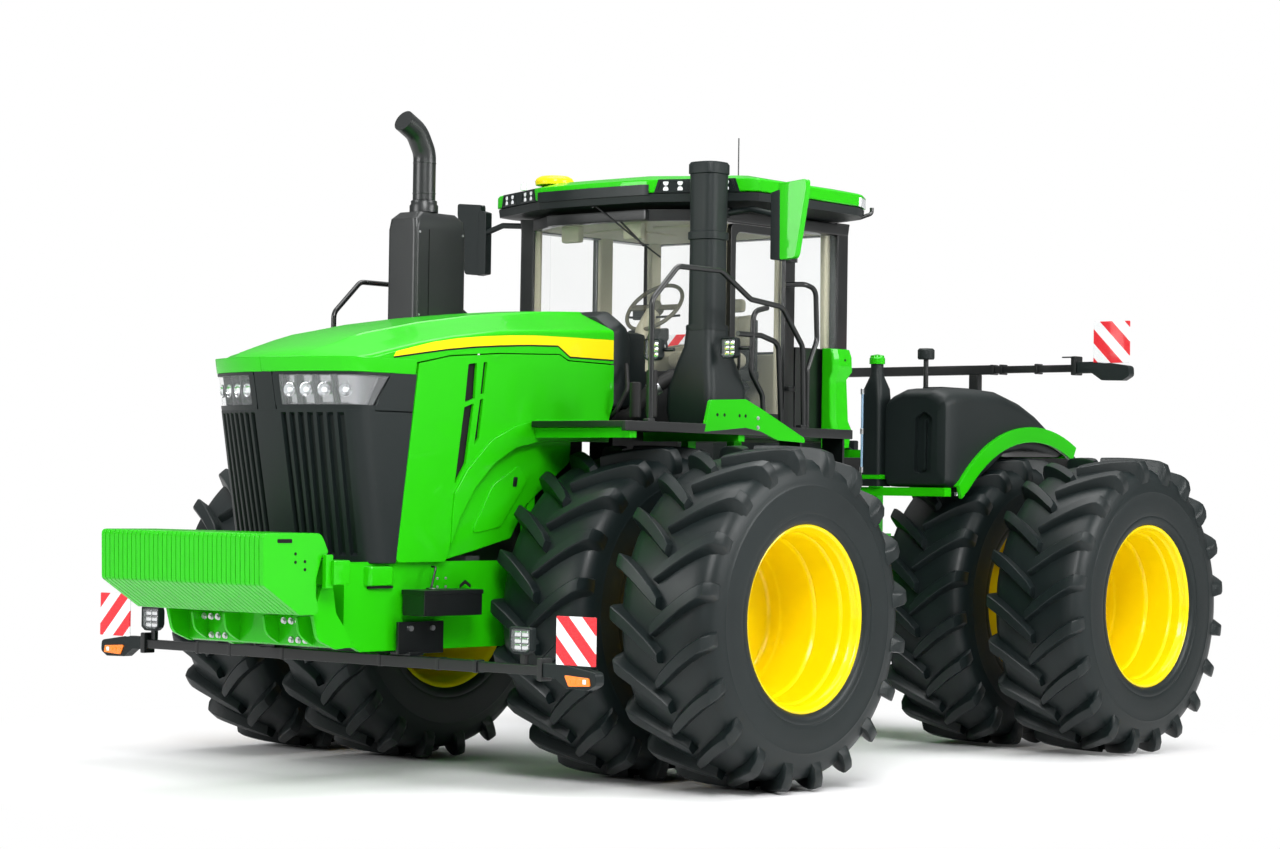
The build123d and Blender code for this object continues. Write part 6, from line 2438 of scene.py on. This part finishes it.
class TRACTOR_OT_walkway(bpy.types.Operator):
    """Platforms with tread plates, skirts, rails, lamps and the ladder"""

    bl_idname = "tractor.walkway"
    bl_label = "Walkway"

    def execute(self, context):
        deck = Piece("walkway")
        for side in SIDES:
            outline = rounded(
                [
                    (0.615, -2.59), (1.39, -2.59), (1.39, -0.31), (0.90, -0.31), (0.90, -1.36),
                    (0.615, -1.36)
                ],
                0.02
            )
            outline = [(side * x, HINGE + y) for x, y in outline]
            deck.add(plate(outline, "Z", 2.158, DECK_TOP, 0.006), "black_steel")
            edge = rounded([(1.355, -2.595), (1.398, -2.595), (1.398, -0.32), (1.355, -0.32)], 0.01)
            edge = [(side * x, HINGE + y) for x, y in edge]
            deck.add(plate(edge, "Z", 2.135, 2.197, 0.008), "black_steel")
            deck.add(
                hinge_block((side * 0.40, side * 0.60), (-1.80, -1.15), (1.80, 2.158), 0.01), "black_steel"
            )
            cleat = block((-0.045, 0.045), (-0.006, 0.006), (0.0, 0.0035), 0.001, 1)
            for row in range(4):
                x = side * (1.06 + row * 0.085)
                deck.take(
                    repeated(cleat.copy(), (x, HINGE - 2.5, DECK_TOP), (0, 0.075, 0), 28, "black_steel")
                )
            cleat.free()
            skirt = rounded(SKIRT, 0.02)
            deck.add(side_sheet(skirt, 1.372, 1.399, side, 0.005), "body_paint")
            # Near-black discs: painted shade inside the skirt's holes.
            for y in (-1.735, -1.665, -1.515, -1.455):
                hole = (side * 1.3985, HINGE + y, 2.255)
                deck.add(rod(hole, (side * 1.3995, HINGE + y, 2.255), 0.011, 16), "dark_gap")
            places = [(side * 1.3985, HINGE - 1.33, 2.245), (side * 1.3985, HINGE - 1.33, 2.185)]
            deck.take(bolt_heads(places, (side, 0, 0), 0.009, "zinc"))
        deck.finish("front_frame", "black_paint", ["platforms"])
        rails = Piece("hand_rails")
        for route in LEFT_RAILS + RIGHT_RAILS:
            rails.add(rail(route), "black_steel")
        for side in SIDES:
            for y in (-2.36, -0.85):
                rails.add(
                    block(
                        (side * 1.352, side * 1.398), (HINGE + y - 0.03, HINGE + y + 0.03), (2.19, 2.215),
                        0.006
                    ),
                    "black_steel"
                )
        rails.finish("front_frame", "black_paint", ["handrails"])
        lamps = Piece("rail_lamps")
        for y, z in ((-2.166, 2.64), (-1.425, 2.685)):
            add_work_lamp(lamps, 1.25, y - 0.03, z, 0.125, 0.135)
            lamps.add(rod((1.25, HINGE + y + 0.02, z), (RAIL_X, HINGE + y + 0.02, z), 0.012), "black_steel")
        for start, end in (
            ((1.19, -2.12, 2.23), (1.19, -2.12, 2.52)), ((1.0, -2.05, 2.23), (1.0, -2.05, 2.45))
        ):
            lamps.add(rod(*[(x, HINGE + y, z) for x, y, z in (start, end)], 0.035, 20, 0.01), "hose_rubber")
        lamps.finish("front_frame", "lamp_lens")
        steps = Piece("steps")
        for y in (-0.868, -0.412):
            steps.add(
                plate(
                    rounded([(1.22, 0.53), (1.39, 0.53), (1.39, 2.15), (1.22, 2.15)], 0.02), "Y",
                    HINGE + y - 0.01, HINGE + y + 0.01
                ),
                "black_steel"
            )
        for number in range(5):
            z = 0.56 + 0.34 * number
            steps.add(hinge_block((1.205, 1.395), (-0.868, -0.412), (z, z + 0.03), 0.006), "black_steel")
        steps.finish("front_frame", "black_paint", ["ladder"])
        return {"FINISHED"}


class TRACTOR_OT_corner_box(bpy.types.Operator):
    """Green moulded box at the cab's rear corner"""

    bl_idname = "tractor.corner_box"
    bl_label = "Corner box"

    def execute(self, context):
        piece = Piece("corner_panel")
        rings = []
        for z, reach, rear in (
            (2.085, 0.955, 0.185), (2.09, 0.985, 0.200), (2.21, 1.002, 0.208), (2.27, 0.985, 0.190),
            (2.55, 0.975, 0.180), (2.60, 1.000, 0.208), (2.70, 0.998, 0.205), (2.752, 0.985, 0.195),
            (2.758, 0.96, 0.17)
        ):
            ring = rounded(
                [(0.884, 0.005), (reach - 0.02, 0.005), (reach, 0.05), (reach, rear), (0.884, rear)], 0.018,
                3
            )
            rings.append([(x, HINGE + y, z) for x, y in ring])
        piece.add(skin(rings), "body_paint")
        # Near-black disc: painted shade inside a hole.
        piece.add(rod((0.99, HINGE + 0.12, 2.68), (1.001, HINGE + 0.12, 2.68), 0.008), "dark_gap")
        piece.finish("front_frame", "green_paint", ["cab_corner_box"])
        return {"FINISHED"}


# Rear half --------------------------------------------------------------------------------------


def arc(radius, first, last, steps=14):
    """Points round the rear axle, as (Y, Z); angles in degrees from straight back."""
    points = []
    for index in range(steps + 1):
        angle = math.radians(first + (last - first) * index / steps)
        points.append((REAR_AXLE + radius * math.cos(angle), AXLE_Z + radius * math.sin(angle)))
    return points


TANK_STATIONS = (
    # Y about the hinge, bottom, top, outer X
    (0.905, 1.90, 2.455, 1.215),
    (0.925, 1.85, 2.49, 1.270),
    (0.965, 1.835, 2.515, 1.290),
    (1.060, 1.832, 2.525, 1.298),
    (1.200, 1.832, 2.528, 1.298),
    (1.420, 1.950, 2.529, 1.298),
    (1.640, 2.075, 2.520, 1.296),
    (1.860, 2.105, 2.468, 1.294),
    (2.060, 2.100, 2.390, 1.290),
    (2.280, 2.080, 2.268, 1.285),
    (2.440, 2.062, 2.195, 1.278),
    (2.590, 2.062, 2.135, 1.255),
)


def tank_section(y, low, top, outer):
    """One cross-section of a tank, from its inner foot round over the top."""
    round_off = min(0.11, (top - low) * 0.3)
    ring = rounded(
        [
            (0.775, low, 0.02), (outer, low, 0.05), (outer, top - 0.05, round_off),
            (outer - 0.12, top, round_off), (0.92, top, 0.05), (0.775, top - 0.06, 0.05)
        ],
        0.05, 5
    )
    return [(x, HINGE + y, z) for x, z in ring]


class TRACTOR_OT_tanks(bpy.types.Operator):
    """Moulded tanks over the rear axle, with caps, gauge and breather"""

    bl_idname = "tractor.tanks"
    bl_label = "Tanks"

    def execute(self, context):
        piece = Piece("tank_bodies")
        for side in SIDES:
            body = skin([tank_section(*row) for row in TANK_STATIONS])
            recess = rounded(
                [(1.02, 1.93), (1.16, 1.93), (1.17, 2.32), (1.10, 2.36), (1.03, 2.32)], 0.035, 5
            )
            pocket = plate(recess, "Y", HINGE + 0.80, HINGE + 0.945, 0.0)
            shape = cut_out(body, [pocket])
            bmesh.ops.recalc_face_normals(shape, faces=shape.faces)
            piece.add(shape if side > 0 else mirrored(shape), "black_plastic")
            rib = rounded([(1.085, 1.95), (1.105, 1.95), (1.105, 2.30), (1.085, 2.30)], 0.008, 3)
            ribs = plate(rib, "Y", HINGE + 0.925, HINGE + 0.95, 0.003)
            piece.add(ribs if side > 0 else mirrored(ribs), "black_plastic")
            lid = hinge_block((side * 0.95, side * 1.12), (1.10, 1.44), (2.524, 2.536), 0.01)
            piece.add(lid, "black_plastic")
        piece.finish("rear_frame", "black_plastic", ["fuel_tank"], 34.0)
        column = Piece("fluid_bottle")
        x, y = 0.665, HINGE + 0.95
        column.add(loft((
            (x, y, 1.835, 0.16, 0.16, 0.03),
            (x, y, 2.40, 0.165, 0.165, 0.035),
            (x, y, 2.52, 0.15, 0.15, 0.04),
            (x, y, 2.60, 0.10, 0.10, 0.045),
            (x, y, 2.64, 0.085, 0.085, 0.042),
            (x, y, 2.70, 0.085, 0.085, 0.042),
        )), "black_plastic")
        column.add(
            turned(
                [(2.695, 0.0), (2.695, 0.055), (2.735, 0.055), (2.74, 0.05), (2.755, 0.048), (2.765, 0.0)],
                (x, y, 0), "Z", 30
            ),
            "body_paint"
        )
        column.finish("rear_frame", "black_plastic", ["fluid_column"], 36.0)
        extras = Piece("tank_fittings")
        extras.add(hinge_block((0.58, 0.76), (0.865, 1.10), (1.885, 1.915), 0.006), "body_paint")
        extras.add(rod((0.60, HINGE + 0.868, 1.96), (0.60, HINGE + 0.868, 2.50), 0.009, 12), "sight_tube")
        for z in (1.95, 2.22, 2.50):
            extras.add(
                rod((0.60, HINGE + 0.868, z - 0.02), (0.60, HINGE + 0.868, z + 0.02), 0.014, 12, 0.003),
                "zinc"
            )
        extras.add(rod((0.90, HINGE + 1.21, 2.51), (0.90, HINGE + 1.21, 2.74), 0.018, 14), "black_steel")
        extras.add(
            turned(
                [(2.735, 0.0), (2.735, 0.055), (2.745, 0.06), (2.80, 0.06), (2.812, 0.05), (2.815, 0.0)],
                (0.90, HINGE + 1.21, 0), "Z", 28
            ),
            "black_plastic"
        )
        for number in range(4):
            yy = HINGE + 0.98 + number * 0.085
            extras.add(block((1.02, 1.24), (yy, yy + 0.03), (1.80, 1.832), 0.006), "black_steel")
            extras.add(rod((1.20, yy + 0.015, 1.775), (1.20, yy + 0.015, 1.80), 0.012, 8), "zinc")
        extras.finish("rear_frame", "black_plastic")
        return {"FINISHED"}


class TRACTOR_OT_fenders(bpy.types.Operator):
    """Green fender strips over the rear wheels"""

    bl_idname = "tractor.fenders"
    bl_label = "Fenders"

    def execute(self, context):
        piece = Piece("fender_strips")
        outer = arc(1.245, 139, 63, 18)
        inner = arc(1.135, 139, 63, 18)
        for side in SIDES:
            strip_outline = outer + list(reversed(inner))
            strip_outline = strip_outline[:-1] + [(inner[0][0] - 0.045, inner[0][1] - 0.02)]
            piece.add(plate(strip_outline, "X", side * 1.296, side * 1.328, 0.008), "body_paint")
            top = arc(1.245, 139, 63, 18)
            low = arc(1.225, 139, 63, 18)
            piece.add(plate(top + list(reversed(low)), "X", side * 1.20, side * 1.30, 0.006), "body_paint")
            guard_top = arc(1.200, 128, 50, 14)
            guard_low = arc(1.185, 128, 50, 14)
            piece.add(
                plate(guard_top + list(reversed(guard_low)), "X", side * 0.64, side * 1.296, 0.004),
                "black_plastic"
            )
            tail = hinge_block((side * 0.86, side * 0.94), (2.76, 2.82), (2.08, 2.20), 0.012)
            piece.add(tail, "fine_plastic")
            piece.add(
                hinge_block((side * 0.875, side * 0.925), (2.818, 2.826), (2.10, 2.18), 0.004), "tail_red"
            )
        piece.finish("rear_frame", "green_paint", ["rear_fenders"])
        return {"FINISHED"}


class TRACTOR_OT_rear_lights(bpy.types.Operator):
    """Rear light bar with its marker boards"""

    bl_idname = "tractor.rear_lights"
    bl_label = "Rear lights"

    def execute(self, context):
        bar = Piece("rear_bar")
        y = HINGE + 1.95
        for first, last, half in ((-1.0, 1.0, 0.034), (-1.75, -1.0, 0.026), (1.0, 1.75, 0.026)):
            bar.add(
                block((first, last), (y - half, y + half), (2.69 - half, 2.69 + half), 0.005), "black_steel"
            )
        for x in (0.98, 1.06, 1.36):
            for side in SIDES:
                bar.add(sleeve(side * x, y, 2.69, 0.037, 0.028), "black_steel")
        for side in SIDES:
            bar.add(end_housing(side, y, 2.69), "fine_plastic")
            bar.add(
                block((side * 1.655, side * 1.70), (y - 0.045, y + 0.045), (2.64, 2.775), 0.008),
                "black_steel"
            )
            bar.add(
                block((side * 1.56, side * 1.68), (y - 0.01, y + 0.01), (2.765, 2.775), 0.002),
                "black_steel"
            )
            bar.add(
                block((side * 0.78, side * 0.86), (y - 0.03, y + 0.03), (2.40, 2.66), 0.01), "black_steel"
            )
        bar.finish("rear_frame", "black_paint", ["rear_light_bar"])
        marks = Piece("rear_marks")
        marks.add(marker_board((1.836, 2.128), y - 0.038 + 0.01, 2.722, 3.015), "marker_left")
        marks.add(marker_board((-2.128, -1.836), y - 0.038 + 0.01, 2.722, 3.015), "marker_right")
        for side in SIDES:
            glow = rounded(
                [(side * 1.895, 2.68), (side * 2.08, 2.67), (side * 2.09, 2.62), (side * 1.93, 2.612)], 0.01
            )
            marks.add(plate(glow, "Y", y + 0.030, y + 0.040, 0.003), "tail_red")
        marks.finish("rear_frame", "marker_sheet", ["rear_markers"])
        return {"FINISHED"}


# Frames and steering ----------------------------------------------------------------------------

FRAME_FINISHES = {
    "front_chassis": "body_paint", "rear_chassis": "body_paint", "front_axle": "body_paint",
    "rear_axle": "body_paint", "center_knuckle": "body_paint", "drawbar": "body_paint",
    "engine_block": "dark_iron", "steering_barrel_left": "black_steel",
    "steering_barrel_right": "black_steel", "steering_rod_left": "chrome", "steering_rod_right": "chrome"
}


class TRACTOR_OT_frames(bpy.types.Operator):
    """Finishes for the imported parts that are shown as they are"""

    bl_idname = "tractor.frames"
    bl_label = "Frames"

    def execute(self, context):
        for name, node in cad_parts.items():
            finish = finish_for(FRAME_FINISHES.get(name, "black_plastic"))
            if not node.material_slots:
                node.data.materials.append(finish)
            for slot in node.material_slots:
                slot.material = finish
        return {"FINISHED"}


# Stage ------------------------------------------------------------------------------------------


def area_light(name, place, target, size, power, colour=(1.0, 1.0, 1.0)):
    """A soft light aimed at a point."""
    data = bpy.data.lights.new(name, "AREA")
    data.shape = "RECTANGLE"
    data.size, data.size_y = size
    data.energy = power
    data.color = colour
    lamp = bpy.data.objects.new(name, data)
    lamp.location = place
    lamp.rotation_euler = (Vector(target) - Vector(place)).to_track_quat("-Z", "Y").to_euler()
    bpy.context.scene.collection.objects.link(lamp)
    return lamp


def studio_world():
    """A dim room, brighter overhead, and plain white where the camera looks past the floor."""
    world = bpy.data.worlds.new("Studio")
    world.use_nodes = True
    tree = world.node_tree
    tree.nodes.clear()
    rays = tree.nodes.new("ShaderNodeLightPath")
    place = tree.nodes.new("ShaderNodeTexCoord")
    split = tree.nodes.new("ShaderNodeSeparateXYZ")
    ramp = tree.nodes.new("ShaderNodeMapRange")
    ramp.interpolation_type = "SMOOTHSTEP"
    for index, value in ((1, -0.1), (2, 0.9), (3, 0.12), (4, 0.62)):
        ramp.inputs[index].default_value = value
    light = tree.nodes.new("ShaderNodeBackground")
    light.inputs[0].default_value = (1.0, 1.0, 1.0, 1.0)
    backdrop = tree.nodes.new("ShaderNodeBackground")
    backdrop.inputs[0].default_value = (1.0, 1.0, 1.0, 1.0)
    backdrop.inputs[1].default_value = 1.0
    mixed = tree.nodes.new("ShaderNodeMixShader")
    end = tree.nodes.new("ShaderNodeOutputWorld")
    seen = tree.nodes.new("ShaderNodeMath")
    seen.operation = "MAXIMUM"
    tree.links.new(place.outputs["Generated"], split.inputs[0])
    tree.links.new(split.outputs[2], ramp.inputs[0])
    tree.links.new(ramp.outputs[0], light.inputs[1])
    tree.links.new(rays.outputs["Is Camera Ray"], seen.inputs[0])
    tree.links.new(rays.outputs["Is Transmission Ray"], seen.inputs[1])
    tree.links.new(seen.outputs[0], mixed.inputs[0])
    tree.links.new(light.outputs[0], mixed.inputs[1])
    tree.links.new(backdrop.outputs[0], mixed.inputs[2])
    tree.links.new(mixed.outputs[0], end.inputs[0])
    return world


CAMERA_PLACE = (12.897, -15.203, 1.7656)
CAMERA_HEADING = 0.70717  # radians round from the front, towards the left
CAMERA_PITCH = -0.023091
CAMERA_ROLL = 0.0146072
CAMERA_LENS = 83.03


def camera_turn():
    """The camera's three directions, level first and then rolled."""
    back = Vector(
        (
            math.sin(CAMERA_HEADING) * math.cos(CAMERA_PITCH),
            -math.cos(CAMERA_HEADING) * math.cos(CAMERA_PITCH), math.sin(CAMERA_PITCH)
        )
    )
    right = (-back).cross(Vector((0, 0, 1))).normalized()
    up = right.cross(-back).normalized()
    cosine, sine = math.cos(CAMERA_ROLL), math.sin(CAMERA_ROLL)
    rolled = (right * cosine + up * sine, up * cosine - right * sine, back)
    return Matrix(rolled).transposed().to_4x4()


class TRACTOR_OT_stage(bpy.types.Operator):
    """Floor, soft light, background and camera"""

    bl_idname = "tractor.stage"
    bl_label = "Stage"

    def execute(self, context):
        scene = context.scene
        scene.world = studio_world()
        bpy.ops.mesh.primitive_plane_add(size=400.0, location=(0, 0, 0))
        floor = context.object
        floor.name = "studio_floor"
        floor.data.materials.append(pale_floor("studio_floor", 5.2))
        lights = (
            area_light("key", (9.0, -9.0, 9.5), (0, -1.0, 1.6), (5.0, 5.0), 1500.0),
            area_light("side", (13.0, 4.0, 6.5), (0, 0.6, 1.6), (7.0, 4.0), 1100.0),
            area_light("front", (-5.0, -13.0, 5.5), (0, -3.0, 1.4), (6.0, 4.0), 700.0),
            area_light("top", (0.0, 0.5, 13.0), (0, 0.4, 0), (9.0, 12.0), 1500.0)
        )
        data = bpy.data.cameras.new("camera")
        data.lens = CAMERA_LENS
        data.sensor_width = 36.0
        data.clip_end = 500.0
        camera = bpy.data.objects.new("camera", data)
        camera.matrix_world = Matrix.Translation(CAMERA_PLACE) @ camera_turn()
        scene.collection.objects.link(camera)
        scene.camera = camera
        scene.view_settings.view_transform = "Standard"
        return {"FINISHED"}


# Registration -----------------------------------------------------------------------------------

OPERATORS = (
    TRACTOR_OT_tyres, TRACTOR_OT_rims, TRACTOR_OT_hood, TRACTOR_OT_grille, TRACTOR_OT_headlights,
    TRACTOR_OT_weights, TRACTOR_OT_lower_front, TRACTOR_OT_front_lights, TRACTOR_OT_stacks, TRACTOR_OT_cowl,
    TRACTOR_OT_cab, TRACTOR_OT_windows, TRACTOR_OT_door, TRACTOR_OT_roof, TRACTOR_OT_mirrors,
    TRACTOR_OT_controls, TRACTOR_OT_seat, TRACTOR_OT_walkway, TRACTOR_OT_corner_box, TRACTOR_OT_tanks,
    TRACTOR_OT_fenders, TRACTOR_OT_rear_lights, TRACTOR_OT_frames, TRACTOR_OT_stage
)


class TRACTOR_PT_build(bpy.types.Panel):
    """Buttons that build the groups one at a time"""

    bl_idname = "TRACTOR_PT_build"
    bl_label = "Farm tractor"
    bl_space_type = "VIEW_3D"
    bl_region_type = "UI"
    bl_category = "Tractor"

    def draw(self, context):
        layout = self.layout
        for settings in (context.scene.tractor_colours, context.scene.tractor_sizes):
            box = layout.box()
            for name in settings.__annotations__:
                box.prop(settings, name)
        for operator in OPERATORS:
            layout.operator(operator.bl_idname)


SETTINGS = (TractorColours, TractorSizes)


def register():
    for group in SETTINGS + OPERATORS + (TRACTOR_PT_build,):
        bpy.utils.register_class(group)
    bpy.types.Scene.tractor_colours = PointerProperty(type=TractorColours)
    bpy.types.Scene.tractor_sizes = PointerProperty(type=TractorSizes)


def unregister():
    del bpy.types.Scene.tractor_sizes
    del bpy.types.Scene.tractor_colours
    for group in reversed(SETTINGS + OPERATORS + (TRACTOR_PT_build,)):
        bpy.utils.unregister_class(group)


def call(operator):
    """Runs an operator by its name."""
    group, name = operator.bl_idname.split(".")
    getattr(getattr(bpy.ops, group), name)()


def main():
    register()
    for operator in OPERATORS:
        call(operator)


if __name__ == "__main__":
    main()
